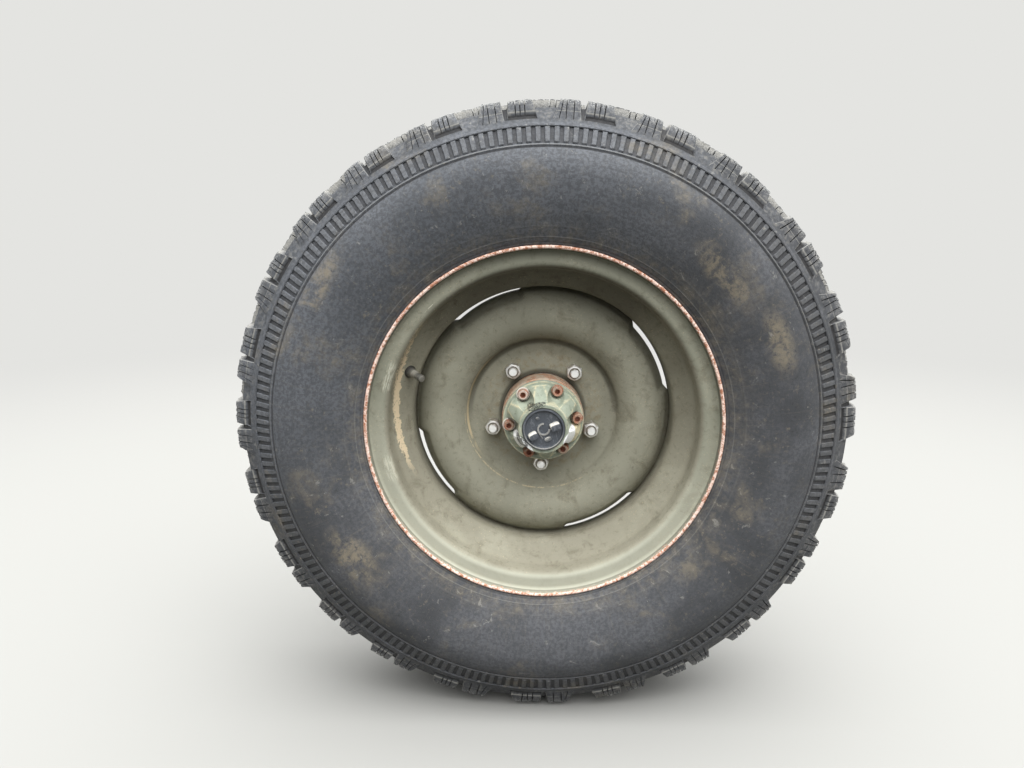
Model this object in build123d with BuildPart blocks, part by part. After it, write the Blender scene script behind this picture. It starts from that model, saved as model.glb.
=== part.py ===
from build123d import *
import os
from math import cos, radians, sin, tan

os.makedirs("parts", exist_ok=True)

# Front wheel end of a light military 4x4: all-terrain tyre, steel wheel, hub with a manual
# free-wheeling lock, brake drum, backing plate and spindle.
# Millimetres. The origin is the centre of the face where the spindle bolts to the steering
# knuckle, the wheel turns about Y, and -Y is the outer side of the vehicle.
# Sections are drawn on XY, where X is the radius and Y the station along the axle.
SECTION = Plane.XY

# Clearances
SEAT_GAP = 0.3         # between formed pieces that are welded, mounted or pressed in the real wheel
RUNNING_FIT = 0.08     # radial, between a bearing and what turns round it
HOLE_GAP = 0.4         # radial, round studs and screws

# Rim, a drop-centre 5.50F x 16 section
RIM_LIP_Y = -180.0     # plane of the outer lip
RIM_SHEET = 4.5
BEAD_SEAT_R = 202.8    # tyre side, at the flange
FLANGE_HEIGHT = 23.2   # lip over the bead seat
FLANGE_GAUGE = 139.7   # between the faces that hold the tyre's beads
LIP_CURL = 13.0        # from the flange's bead face to the lip's edge
BEAD_SEAT_WIDTH = 23.0
BEAD_TAPER = 5.0       # degrees
WELL_DEPTH = 25.8      # under the bead seat
WELL_WIDTH = 42.0
RIM_BEND_R = 8.0
WELL_BEND_R = 12.0

# Tyre, 7.50-16 size. Radial heights are counted down from the crown.
TREAD_R = 401.0
TREAD_WIDTH = 124.0
TREAD_DROP = 7.0       # of the tread's edge under its crown
SHOULDER_HEIGHT = 33.0    # side of the shoulder blocks
SHOULDER_FLARE = 16.8  # how far they lean out
RIB_BAND_HEIGHT = 20.0    # ribbed band under the blocks
RIB_BAND_FLARE = 11.8
UPPER_SIDE_HEIGHT = 38.0  # from the ribbed band to the widest point
SECTION_WIDTH = 210.0
TREAD_SKIN = 23.0      # crown, from the tread to the air
SIDE_SKIN = 11.0
BEAD_WIDTH = 26.0
BEAD_HEIGHT = 16.0
AIR_HAUNCH = 30.0      # from the bead's top to the thin sidewall
AIR_CORNER = 14.0      # bevel inside the shoulder

# Tread: a ring of shoulder lugs and one of centre blocks on each side of the centre plane
GROOVE_DEPTH = 15.5    # of the floor under the crown
LUG_RISE = 5.6         # radial, from the ribbed band to the foot of the gaps between the lugs
LUG_LENGTH = 25.0      # along the axle, over the crown
RING_GROOVE = 9.4      # between lugs and centre blocks
CENTRE_GROOVE = 11.0
GAP_REACH = 12.0       # how far the cuts for the gaps reach beyond the tread
PITCH_START = 4.5      # degrees
# Lengths of the pitches as weights. They are uneven to spread the noise of the tread.
PITCHES = [16.3, 15.3, 16.7, 15.9, 14.7, 13.9, 13.6, 13.3, 13.3, 14.0, 15.7, 13.4,
           14.1, 16.4, 14.1, 13.2, 14.8, 17.4, 16.3, 13.8, 15.5, 16.3, 14.4, 17.6]
# Each pitch has two lugs with a wide gap between them and a slot after the second, and the slot runs
# on between the centre blocks. Where they start and end, as shares of the pitch:
GAP_AT_FOOT = (0.408, 0.566)      # on the shoulder's foot
GAP_AT_EDGE = (0.292, 0.646)      # at the tread's edge
SLOT_AT_FOOT = (0.978, 1.018)
SLOT_AT_EDGE = (0.949, 1.047)
SLOT_AT_CENTRE = (0.926, 1.075)

# Wheel disc
DISC_SHEET = 5.0
DISC_FACE_Y = -80.0    # back of the disc, against the drum
DISC_BORE_R = 55.0
BOLT_FACE_R = 82.0     # end of the flat bolt face
CREASE_R = 100.0       # foot of the raised ring
CREASE_RISE = 6.0
CROWN_RISE = 31.0      # top of the raised ring, over the bolt face
DISC_CORNER_R = 6.0
DISC_CORNER_SLOPE = 0.6   # backwards per unit of radius, where the corner leaves the raised ring
DISC_EDGE_RISE = 4.0   # the rounded corner's front, over the bolt face
DISC_SKIRT = 30.0      # length of the flange that is welded in the well
NOTCH_COUNT = 4
NOTCH_FIRST = 27.0     # degrees
NOTCH_SPAN = 31.0
NOTCH_DEPTH = 8.0
NOTCH_FLARE = 3.0      # degrees, of each slanted end

# Studs and nuts
STUD_COUNT = 5
STUD_RING_R = 69.85
STUD_FIRST = 52.6      # degrees
STUD_R = 6.25
STUD_REACH = 22.0      # beyond the disc's bolt face
STUD_HEAD_R = 9.5
STUD_HEAD = 5.0
NUT_FLATS = 19.0
NUT_HEIGHT = 16.0
NUT_SEAT = 4.0         # depth of the conical seat in the disc
NUT_SEAT_R = 8.8

# Brake drum and backing plate
DRUM_FACE = 6.0
DRUM_R = 140.0
DRUM_WALL = 12.0
DRUM_MOUTH_Y = -24.0
DRUM_RIB = 3.0
DRUM_BORE_R = 56.0
PLATE_SHEET = 3.0
PLATE_LIP = 12.0
PLATE_GAP = 6.0        # radial, from the drum's mouth to the lip
PLATE_BEND_R = 4.0
SWAGE_FLOOR = 12.0     # width of the pressed groove's floor
SWAGE_DEPTH = 6.0

# Spindle
SPINDLE_FLANGE = 14.0
SPINDLE_FLANGE_R = 74.0
SPINDLE_BOLTS = 6
SPINDLE_BOLT_RING_R = 61.0
SPINDLE_BOLT_R = 5.25
SHAFT_BORE_R = 15.0
SHAFT_BORE_CHAMFER = 3.0
SEAT_STEP = 1.0        # radial rise from the outer bearing's seat to the shaft
SEAT_BLEND = 2.0       # its length along the axle
SEAL_LAND_R = 32.0
INNER_SEAT_R = 25.0
OUTER_SEAT_R = 20.0
THREAD_R = 19.0
INNER_BEARING_Y = -38.0   # inboard face
OUTER_BEARING_Y = -100.0  # inboard face
BEARING_WIDTH = 20.0
INNER_CUP_R = 45.0
OUTER_CUP_R = 36.0
SPINDLE_END_Y = -148.0
BEARING_NUT = 12.0
BEARING_NUT_FLATS = 46.0

# Hub
HUB_BARREL_R = 54.0
HUB_END_Y = -130.0
HUB_CHAMFER = 1.5      # at the barrel's end
HUB_FLANGE = 12.0
HUB_FLANGE_R = 86.0
HUB_BACK_R = 60.0
HUB_BACK_Y = -30.0
HUB_WAIST_R = 32.0     # bore between the bearings
CAP_THREAD_DEPTH = 18.0

# Free-wheeling lock on the hub's end
LOCK_FLANGE = 10.0
LOCK_FLANGE_R = 52.4
LOCK_CONE_R = 48.3     # foot of the tapered body
LOCK_STEP = 5.0        # height of the body's edge over its flange
LOCK_FLAT_R = 46.0     # foot of the six flats between the webs
LOCK_FRONT_R = 31.5
LOCK_FRONT_Y = -183.0
LOCK_RING = 7.0        # length of the plain front ring
LOCK_BORE_R = 32.0
LOCK_SCREWS = 6
LOCK_SCREW_RING_R = 44.35
LOCK_SCREW_FIRST = 6.0    # degrees
CAP_R = 6.5            # cap screws, M8
CAP_HEAD = 8.0
CAP_SHANK_R = 4.0
CAP_SOCKET = 6.0       # across flats
CAP_SHANK = 26.0
POCKET_R = 9.0
DIAL_R = 26.5
DIAL_FRONT_Y = -186.0
DIAL_SEAT = 9.0        # depth of the dial's seat in the body
DIAL_RIM = 2.5
DIAL_RECESS = 3.0
DIAL_TURN = 23.0       # degrees, of the line of grips
GRIP_LENGTH = 12.0
GRIP_MARGIN = 1.0      # from the dial's rim to the grip
GRIP_WIDTH = 8.0
DIAL_BOSS_R = 8.0

# Tyre valve
VALVE_ANGLE = 160.0    # degrees
VALVE_R = 4.0
VALVE_HEAD_R = 6.5
VALVE_HEAD = 7.0
VALVE_LENGTH = 27.0

# Wheel cylinder at the back of the brake
CYLINDER_INSET = 9.0   # from the plate's lip to the boss
CYLINDER_BOSS_R = 11.0
CYLINDER_BOSS = 7.0
BLEED_R = 3.5
BLEED_LENGTH = 12.0


def facing_out(y):
    """Plane across the axle at station y, seen from outside: local x is X and local y is Z."""
    return Plane(origin=(0, y, 0), x_dir=(1, 0, 0), z_dir=(0, -1, 0))


def facing_in(y):
    """Plane across the axle at station y, facing inboard."""
    return Plane(origin=(0, y, 0), x_dir=(-1, 0, 0), z_dir=(0, 1, 0))


def finish(part, name):
    part.label = name
    export_step(part, f"parts/{name}.step")


# Stations and radii that several pieces share
BOLT_FACE_Y = DISC_FACE_Y - DISC_SHEET
DRUM_BACK_Y = DISC_FACE_Y + DRUM_FACE
HUB_FLANGE_BACK_Y = DRUM_BACK_Y + HUB_FLANGE
LOCK_FLANGE_Y = HUB_END_Y - LOCK_FLANGE
RIM_CENTRE_Y = RIM_LIP_Y + LIP_CURL + FLANGE_GAUGE / 2
RIM_LIP_R = BEAD_SEAT_R + FLANGE_HEIGHT
WELL_R = BEAD_SEAT_R - RIM_SHEET - WELL_DEPTH
TREAD_EDGE_R = TREAD_R - TREAD_DROP
GROOVE_R = TREAD_R - GROOVE_DEPTH
SHOULDER_R = TREAD_EDGE_R - SHOULDER_HEIGHT
RIB_BAND_R = SHOULDER_R - RIB_BAND_HEIGHT
BULGE_R = RIB_BAND_R - UPPER_SIDE_HEIGHT
PLATE_R = DRUM_R + DRUM_RIB + PLATE_GAP + PLATE_SHEET
CYLINDER_R = PLATE_R - CYLINDER_INSET - CYLINDER_BOSS_R

# Rim: the inner face from the outer lip to the centre plane as (radius, distance from that plane),
# then the same points mirrored for the inboard half.
FLANGE_FACE = FLANGE_GAUGE / 2
SEAT_INNER_R = BEAD_SEAT_R - RIM_SHEET
SEAT_DROP = BEAD_SEAT_WIDTH * tan(radians(BEAD_TAPER))
RIM_HALF = [
    (RIM_LIP_R - RIM_SHEET, FLANGE_FACE + LIP_CURL),
    (RIM_LIP_R - RIM_SHEET, FLANGE_FACE + RIM_SHEET),
    (SEAT_INNER_R, FLANGE_FACE + RIM_SHEET),
    (SEAT_INNER_R - SEAT_DROP, FLANGE_FACE - BEAD_SEAT_WIDTH),
    (WELL_R, WELL_WIDTH / 2),
]
RIM_BENDS = [RIM_BEND_R, RIM_BEND_R, WELL_BEND_R, WELL_BEND_R]

with BuildPart() as rim:
    with BuildSketch(SECTION):
        with BuildLine():
            outer = [(r, RIM_CENTRE_Y - d) for r, d in RIM_HALF]
            inner = [(r, RIM_CENTRE_Y + d) for r, d in reversed(RIM_HALF)]
            FilletPolyline(*outer, *inner, radius=RIM_BENDS + RIM_BENDS[::-1])
            offset(amount=RIM_SHEET, side=Side.RIGHT)
        make_face()
    revolve(axis=Axis.Y)
finish(rim.part, "rim")

# Tyre: outer skin from bead to bead, then the air side
SIDE_Y = SECTION_WIDTH / 2
BEAD_BASE_R = BEAD_SEAT_R + SEAT_GAP
BEAD_FACE = FLANGE_FACE - SEAT_GAP
HEEL_R = RIM_BEND_R - RIM_SHEET + SEAT_GAP
CURL_R = RIM_BEND_R + RIM_SHEET
TYRE_HALF = [
    (BEAD_BASE_R, BEAD_FACE),
    (RIM_LIP_R - CURL_R, BEAD_FACE),
    (RIM_LIP_R + SEAT_GAP, FLANGE_FACE + CURL_R),
    (BULGE_R, SIDE_Y),
    (RIB_BAND_R, TREAD_WIDTH / 2 + SHOULDER_FLARE + RIB_BAND_FLARE),
    (SHOULDER_R, TREAD_WIDTH / 2 + SHOULDER_FLARE),
    (TREAD_EDGE_R, TREAD_WIDTH / 2),
]


LUG_END = TREAD_WIDTH / 2 - LUG_LENGTH
BLOCK_START = LUG_END - RING_GROOVE
BLOCK_END = CENTRE_GROOVE / 2
FOOT_R = SHOULDER_R + LUG_RISE
FOOT_Y = TREAD_WIDTH / 2 + SHOULDER_FLARE * (1 - LUG_RISE / SHOULDER_HEIGHT)
LUG_END_R = TREAD_R - TREAD_DROP * (2 * LUG_END / TREAD_WIDTH) ** 2
BLOCK_R = TREAD_R - TREAD_DROP * (2 * BLOCK_END / TREAD_WIDTH) ** 2


def tyre_half(side):
    """Edges of one half of the tyre's section; side is -1 for the outer half, 1 for the inboard one."""
    def at(radius, distance):
        return (radius, RIM_CENTRE_Y + side * distance)

    heel, chafer, lip, bulge, band, shoulder, edge = [at(*p) for p in TYRE_HALF]
    air_r = TREAD_R - TREAD_SKIN
    toe = at(BEAD_BASE_R - SEAT_DROP, BEAD_FACE - BEAD_WIDTH)
    toe_top = at(BEAD_BASE_R + BEAD_HEIGHT, BEAD_FACE - BEAD_WIDTH)
    haunch = at(BEAD_BASE_R + BEAD_HEIGHT + AIR_HAUNCH, BEAD_FACE)
    air_bulge = at(BULGE_R, SIDE_Y - SIDE_SKIN)
    air_shoulder = at(air_r - AIR_CORNER, TREAD_WIDTH / 2)
    air_crown = at(air_r, TREAD_WIDTH / 2 - AIR_CORNER)
    FilletPolyline(chafer, heel, toe, radius=HEEL_R)
    TangentArc(chafer, lip, tangent=(1, 0))
    TangentArc(bulge, lip, tangent=(-1, 0))
    TangentArc(bulge, band, tangent=(1, 0))
    Polyline(
        band, shoulder, edge, at(LUG_END_R, LUG_END), at(BLOCK_R, BLOCK_START), at(BLOCK_R, 0))
    Polyline(toe, toe_top, haunch, air_bulge, air_shoulder, air_crown, at(air_r, 0))


# Plans of the gap and the slot of one pitch as (share of the pitch, distance from the centre plane),
# along the first side and back along the second
EDGE_Y = TREAD_WIDTH / 2
OUTSIDE_Y = FOOT_Y + GAP_REACH
GAP_END_Y = (LUG_END + BLOCK_START) / 2
SLOT_END_Y = BLOCK_END / 2
GAP_PLAN = [
    (GAP_AT_FOOT[0], OUTSIDE_Y), (GAP_AT_FOOT[0], FOOT_Y), (GAP_AT_EDGE[0], EDGE_Y),
    (GAP_AT_EDGE[0], GAP_END_Y), (GAP_AT_EDGE[1], GAP_END_Y), (GAP_AT_EDGE[1], EDGE_Y),
    (GAP_AT_FOOT[1], FOOT_Y), (GAP_AT_FOOT[1], OUTSIDE_Y),
]
SLOT_PLAN = [
    (SLOT_AT_FOOT[0], OUTSIDE_Y), (SLOT_AT_FOOT[0], FOOT_Y), (SLOT_AT_EDGE[0], EDGE_Y),
    (SLOT_AT_EDGE[0], LUG_END), (SLOT_AT_CENTRE[0], BLOCK_START), (SLOT_AT_CENTRE[0], SLOT_END_Y),
    (SLOT_AT_CENTRE[1], SLOT_END_Y), (SLOT_AT_CENTRE[1], BLOCK_START), (SLOT_AT_EDGE[1], LUG_END),
    (SLOT_AT_EDGE[1], EDGE_Y), (SLOT_AT_FOOT[1], FOOT_Y), (SLOT_AT_FOOT[1], OUTSIDE_Y),
]

# Gaps and slots of both sides and the ring grooves. Each plan stands square to the radius through its
# own middle, and the ring over the tread's floor bounds them all. The inboard side is the outer one
# turned half a turn about a radius.
with BuildPart() as tread_cuts:
    degrees = 360 / sum(PITCHES)
    for side in (-1, 1):
        for number, pitch in enumerate(PITCHES):
            length = TREAD_EDGE_R * radians(pitch * degrees)
            for plan, middle in [(GAP_PLAN, sum(GAP_AT_EDGE) / 2), (SLOT_PLAN, sum(SLOT_AT_EDGE) / 2)]:
                place = PITCH_START + (sum(PITCHES[:number]) + middle * pitch) * degrees
                turn = -side * radians(place)
                outward = Vector(cos(turn), 0, sin(turn))
                along = Vector(side * sin(turn), 0, -side * cos(turn))
                foot = outward * (FOOT_R - GAP_REACH) + Vector(0, RIM_CENTRE_Y, 0)
                with BuildSketch(Plane(origin=foot, x_dir=along, z_dir=outward)):
                    Polygon(*[((share - middle) * length, y) for share, y in plan], align=None)
    extrude(amount=TREAD_R - FOOT_R + 2 * GAP_REACH)
    with BuildSketch(SECTION):
        ring_grooves = [
            # start, width
            (-LUG_END, RING_GROOVE),
            (-BLOCK_END, CENTRE_GROOVE),
            (BLOCK_START, RING_GROOVE),
        ]
        for start, width in ring_grooves:
            with Locations((FOOT_R, RIM_CENTRE_Y + start)):
                Rectangle(TREAD_R - FOOT_R + GAP_REACH, width, align=Align.MIN)
    revolve(axis=Axis.Y)
    with BuildSketch(SECTION):
        with BuildLine():
            slope = (GROOVE_R - FOOT_R) / (FOOT_Y - EDGE_Y)
            outside_r = FOOT_R - slope * GAP_REACH
            Polyline(
                (outside_r, RIM_CENTRE_Y - OUTSIDE_Y), (GROOVE_R, RIM_CENTRE_Y - EDGE_Y),
                (GROOVE_R, RIM_CENTRE_Y + EDGE_Y), (outside_r, RIM_CENTRE_Y + OUTSIDE_Y),
                (TREAD_R + GAP_REACH, RIM_CENTRE_Y + OUTSIDE_Y),
                (TREAD_R + GAP_REACH, RIM_CENTRE_Y - OUTSIDE_Y), close=True)
        make_face()
    revolve(axis=Axis.Y, mode=Mode.INTERSECT)

with BuildPart() as tyre:
    with BuildSketch(SECTION):
        with BuildLine():
            tyre_half(-1)
            tyre_half(1)
        make_face()
    revolve(axis=Axis.Y)
    add(tread_cuts.part, mode=Mode.SUBTRACT)
finish(tyre.part, "tyre")

# Wheel disc: front face drawn from the bore to the skirt that is welded in the rim's well
DISC_EDGE_R = WELL_R - SEAT_GAP
CORNER_FRONT_Y = BOLT_FACE_Y - DISC_EDGE_RISE
NOTCH_R = DISC_EDGE_R - NOTCH_DEPTH
NOTCH_TOP_R = DISC_EDGE_R + 2 * SEAT_GAP


def polar(radius, angle):
    return (radius * cos(radians(angle)), radius * sin(radians(angle)))


with BuildSketch() as notch:
    half = NOTCH_SPAN / 2
    with BuildLine():
        low = ThreePointArc(polar(NOTCH_R, -half), (NOTCH_R, 0), polar(NOTCH_R, half))
        top = ThreePointArc(polar(NOTCH_TOP_R, -half - NOTCH_FLARE), (NOTCH_TOP_R, 0),
                            polar(NOTCH_TOP_R, half + NOTCH_FLARE))
        Line(low @ 0, top @ 0)
        Line(low @ 1, top @ 1)
    make_face()

with BuildPart() as wheel_disc:
    with BuildSketch(SECTION):
        with BuildLine() as front:
            crease = (CREASE_R, BOLT_FACE_Y - CREASE_RISE)
            corner = (DISC_EDGE_R - DISC_CORNER_R, CORNER_FRONT_Y)
            crown = ((CREASE_R + DISC_EDGE_R - DISC_CORNER_R) / 2, BOLT_FACE_Y - CROWN_RISE)
            Line((DISC_BORE_R, BOLT_FACE_Y), (BOLT_FACE_R, BOLT_FACE_Y))
            Line((BOLT_FACE_R, BOLT_FACE_Y), crease)
            ring = ThreePointArc(crease, crown, corner)
            skirt_top = (DISC_EDGE_R, CORNER_FRONT_Y + DISC_CORNER_R)
            TangentArc(corner, skirt_top, tangent=(1, DISC_CORNER_SLOPE))
            Line(skirt_top, (DISC_EDGE_R, CORNER_FRONT_Y + DISC_SKIRT))
            offset(amount=DISC_SHEET, side=Side.LEFT)
        make_face()
    revolve(axis=Axis.Y)
    # Relief notches between the skirt and the rim
    with BuildSketch(facing_out(CORNER_FRONT_Y + DISC_SKIRT)):
        with PolarLocations(0, NOTCH_COUNT, start_angle=NOTCH_FIRST):
            add(notch.sketch)
    extrude(amount=DISC_SKIRT + DISC_CORNER_R, mode=Mode.SUBTRACT)
    # Stud holes with conical seats for the nuts
    with BuildSketch(facing_out(DISC_FACE_Y)):
        with PolarLocations(STUD_RING_R, STUD_COUNT, start_angle=STUD_FIRST):
            Circle(STUD_R + HOLE_GAP)
    extrude(amount=DISC_SHEET, mode=Mode.SUBTRACT)
    with Locations(facing_out(BOLT_FACE_Y - SEAT_GAP)):
        with PolarLocations(STUD_RING_R, STUD_COUNT, start_angle=STUD_FIRST):
            Cone(STUD_R + HOLE_GAP, NUT_SEAT_R + SEAT_GAP, NUT_SEAT,
                 align=(Align.CENTER, Align.CENTER, Align.MAX), mode=Mode.SUBTRACT)
finish(wheel_disc.part, "wheel_disc")

# Wheel studs, pressed in the hub flange from behind
with BuildPart() as wheel_studs:
    with BuildSketch(facing_out(HUB_FLANGE_BACK_Y + STUD_HEAD)):
        with PolarLocations(STUD_RING_R, STUD_COUNT, start_angle=STUD_FIRST):
            Circle(STUD_HEAD_R)
    extrude(amount=STUD_HEAD)
    with BuildSketch(facing_out(HUB_FLANGE_BACK_Y)):
        with PolarLocations(STUD_RING_R, STUD_COUNT, start_angle=STUD_FIRST):
            Circle(STUD_R)
    extrude(amount=HUB_FLANGE_BACK_Y - BOLT_FACE_Y + STUD_REACH)
finish(wheel_studs.part, "wheel_studs")

# Wheel nuts with a conical foot
with BuildPart() as wheel_nuts:
    with Locations(facing_out(BOLT_FACE_Y - SEAT_GAP)):
        with PolarLocations(STUD_RING_R, STUD_COUNT, start_angle=STUD_FIRST):
            Cone(STUD_R + HOLE_GAP, NUT_SEAT_R, NUT_SEAT - SEAT_GAP,
                 align=(Align.CENTER, Align.CENTER, Align.MAX))
    with BuildSketch(facing_out(BOLT_FACE_Y - SEAT_GAP)):
        with PolarLocations(STUD_RING_R, STUD_COUNT, start_angle=STUD_FIRST):
            RegularPolygon(NUT_FLATS / 2, 6, major_radius=False)
    extrude(amount=NUT_HEIGHT)
    with BuildSketch(facing_out(BOLT_FACE_Y + NUT_SEAT)):
        with PolarLocations(STUD_RING_R, STUD_COUNT, start_angle=STUD_FIRST):
            Circle(STUD_R + RUNNING_FIT)
    extrude(amount=NUT_HEIGHT + 2 * NUT_SEAT, mode=Mode.SUBTRACT)
finish(wheel_nuts.part, "wheel_nuts")

# Hub: flange for the studs, barrel through the wheel, seats for both bearings
with BuildPart() as hub:
    with BuildSketch(SECTION):
        with BuildLine():
            inner_stop = INNER_BEARING_Y - BEARING_WIDTH
            Polyline(
                (INNER_CUP_R, HUB_BACK_Y), (HUB_BACK_R, HUB_BACK_Y), (HUB_BACK_R, HUB_FLANGE_BACK_Y),
                (HUB_FLANGE_R, HUB_FLANGE_BACK_Y), (HUB_FLANGE_R, DRUM_BACK_Y), (HUB_BARREL_R, DRUM_BACK_Y),
                (HUB_BARREL_R, HUB_END_Y + HUB_CHAMFER), (HUB_BARREL_R - HUB_CHAMFER, HUB_END_Y),
                (OUTER_CUP_R, HUB_END_Y), (OUTER_CUP_R, OUTER_BEARING_Y),
                (HUB_WAIST_R, OUTER_BEARING_Y), (HUB_WAIST_R, inner_stop), (INNER_CUP_R, inner_stop),
                close=True)
        make_face()
    revolve(axis=Axis.Y)
    with BuildSketch(facing_out(HUB_FLANGE_BACK_Y)):
        with PolarLocations(STUD_RING_R, STUD_COUNT, start_angle=STUD_FIRST):
            Circle(STUD_R + RUNNING_FIT)
    extrude(amount=HUB_FLANGE, mode=Mode.SUBTRACT)
    with BuildSketch(facing_out(HUB_END_Y + CAP_THREAD_DEPTH)):
        with PolarLocations(LOCK_SCREW_RING_R, LOCK_SCREWS, start_angle=LOCK_SCREW_FIRST):
            Circle(CAP_SHANK_R + RUNNING_FIT)
    extrude(amount=CAP_THREAD_DEPTH, mode=Mode.SUBTRACT)
finish(hub.part, "hub")

# Brake drum, clamped between the hub flange and the wheel disc
with BuildPart() as brake_drum:
    with BuildSketch(SECTION):
        with BuildLine():
            shoe_r = DRUM_R - DRUM_WALL
            Polyline(
                (DRUM_BORE_R, DISC_FACE_Y), (DRUM_R - DRUM_FACE, DISC_FACE_Y),
                (DRUM_R, DISC_FACE_Y + DRUM_FACE), (DRUM_R, DRUM_MOUTH_Y - 2 * DRUM_RIB),
                (DRUM_R + DRUM_RIB, DRUM_MOUTH_Y - 2 * DRUM_RIB), (DRUM_R + DRUM_RIB, DRUM_MOUTH_Y),
                (shoe_r, DRUM_MOUTH_Y), (shoe_r, DRUM_BACK_Y), (DRUM_BORE_R, DRUM_BACK_Y), close=True)
        make_face()
    revolve(axis=Axis.Y)
    with BuildSketch(facing_out(DRUM_BACK_Y)):
        with PolarLocations(STUD_RING_R, STUD_COUNT, start_angle=STUD_FIRST):
            Circle(STUD_R + HOLE_GAP)
    extrude(amount=DRUM_FACE, mode=Mode.SUBTRACT)
finish(brake_drum.part, "brake_drum")

# Spindle: flange, shaft bore, bearing seats and threaded end
with BuildPart() as spindle:
    with BuildSketch(SECTION):
        with BuildLine():
            inner_end = INNER_BEARING_Y - BEARING_WIDTH
            outer_end = OUTER_BEARING_Y - BEARING_WIDTH
            Polyline(
                (SHAFT_BORE_R + SHAFT_BORE_CHAMFER, 0), (SPINDLE_FLANGE_R, 0),
                (SPINDLE_FLANGE_R, -SPINDLE_FLANGE),
                (SEAL_LAND_R, -SPINDLE_FLANGE), (SEAL_LAND_R, INNER_BEARING_Y),
                (INNER_SEAT_R, INNER_BEARING_Y), (INNER_SEAT_R, inner_end),
                (OUTER_SEAT_R + SEAT_STEP, OUTER_BEARING_Y + SEAT_BLEND), (OUTER_SEAT_R, OUTER_BEARING_Y),
                (OUTER_SEAT_R, outer_end), (THREAD_R, outer_end), (THREAD_R, SPINDLE_END_Y),
                (SHAFT_BORE_R, SPINDLE_END_Y), (SHAFT_BORE_R, -SHAFT_BORE_CHAMFER), close=True)
        make_face()
    revolve(axis=Axis.Y)
    with BuildSketch(facing_out(0)):
        with PolarLocations(SPINDLE_BOLT_RING_R, SPINDLE_BOLTS):
            Circle(SPINDLE_BOLT_R)
    extrude(amount=SPINDLE_FLANGE, mode=Mode.SUBTRACT)
finish(spindle.part, "spindle")


def bearing(name, cone_r, cup_r, y):
    """Taper roller bearing as one ring: a tight inner race and a cup with a running fit."""
    with BuildPart() as ring:
        with BuildSketch(SECTION):
            with BuildLine():
                mid_r = (cone_r + cup_r) / 2
                relief = BEARING_WIDTH / 6
                inner_r = cone_r + RUNNING_FIT
                outer_r = cup_r - RUNNING_FIT
                outer_y = y - BEARING_WIDTH
                Polyline(
                    (inner_r, y), (mid_r, y), (mid_r, y - relief), (outer_r, y - relief),
                    (outer_r, outer_y), (mid_r, outer_y), (mid_r, outer_y + relief),
                    (inner_r, outer_y + relief), close=True)
            make_face()
        revolve(axis=Axis.Y)
    finish(ring.part, name)


bearing("inner_bearing", INNER_SEAT_R, INNER_CUP_R, INNER_BEARING_Y)
bearing("outer_bearing", OUTER_SEAT_R, OUTER_CUP_R, OUTER_BEARING_Y)

with BuildPart() as bearing_nut:
    with BuildSketch(facing_out(OUTER_BEARING_Y - BEARING_WIDTH)):
        RegularPolygon(BEARING_NUT_FLATS / 2, 6, major_radius=False)
        Circle(THREAD_R + RUNNING_FIT, mode=Mode.SUBTRACT)
    extrude(amount=BEARING_NUT)
finish(bearing_nut.part, "bearing_nut")

# Backing plate with a pressed swage and a lip round the drum's mouth
with BuildPart() as backing_plate:
    with BuildSketch(SECTION):
        with BuildLine():
            flat_y = -SPINDLE_FLANGE
            swage_r = (SPINDLE_FLANGE_R + CYLINDER_R - CYLINDER_BOSS_R) / 2
            foot = SWAGE_FLOOR / 2
            top = foot + SWAGE_DEPTH
            swage_y = flat_y + SWAGE_DEPTH
            FilletPolyline(
                (SEAL_LAND_R + SEAT_GAP, flat_y), (swage_r - top, flat_y), (swage_r - foot, swage_y),
                (swage_r + foot, swage_y), (swage_r + top, flat_y), (PLATE_R, flat_y),
                (PLATE_R, flat_y - PLATE_LIP), radius=PLATE_BEND_R)
            offset(amount=PLATE_SHEET, side=Side.RIGHT)
        make_face()
    revolve(axis=Axis.Y)
    with BuildSketch(facing_out(flat_y)):
        with PolarLocations(SPINDLE_BOLT_RING_R, SPINDLE_BOLTS):
            Circle(SPINDLE_BOLT_R)
    extrude(amount=PLATE_SHEET, mode=Mode.SUBTRACT)
finish(backing_plate.part, "backing_plate")

# Wheel cylinder: its boss, pipe port and bleed nipple behind the backing plate
with BuildPart() as wheel_cylinder:
    with BuildSketch(facing_in(-SPINDLE_FLANGE)):
        with Locations((0, CYLINDER_R)):
            SlotOverall(4 * CYLINDER_BOSS_R, 2 * CYLINDER_BOSS_R)
    extrude(amount=CYLINDER_BOSS)
    with BuildSketch(facing_in(CYLINDER_BOSS - SPINDLE_FLANGE)):
        with Locations((-CYLINDER_BOSS_R, CYLINDER_R)):
            Circle(2 * BLEED_R)
        with Locations((CYLINDER_BOSS_R, CYLINDER_R)):
            Circle(BLEED_R)
    extrude(amount=BLEED_LENGTH)
finish(wheel_cylinder.part, "wheel_cylinder")

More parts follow.
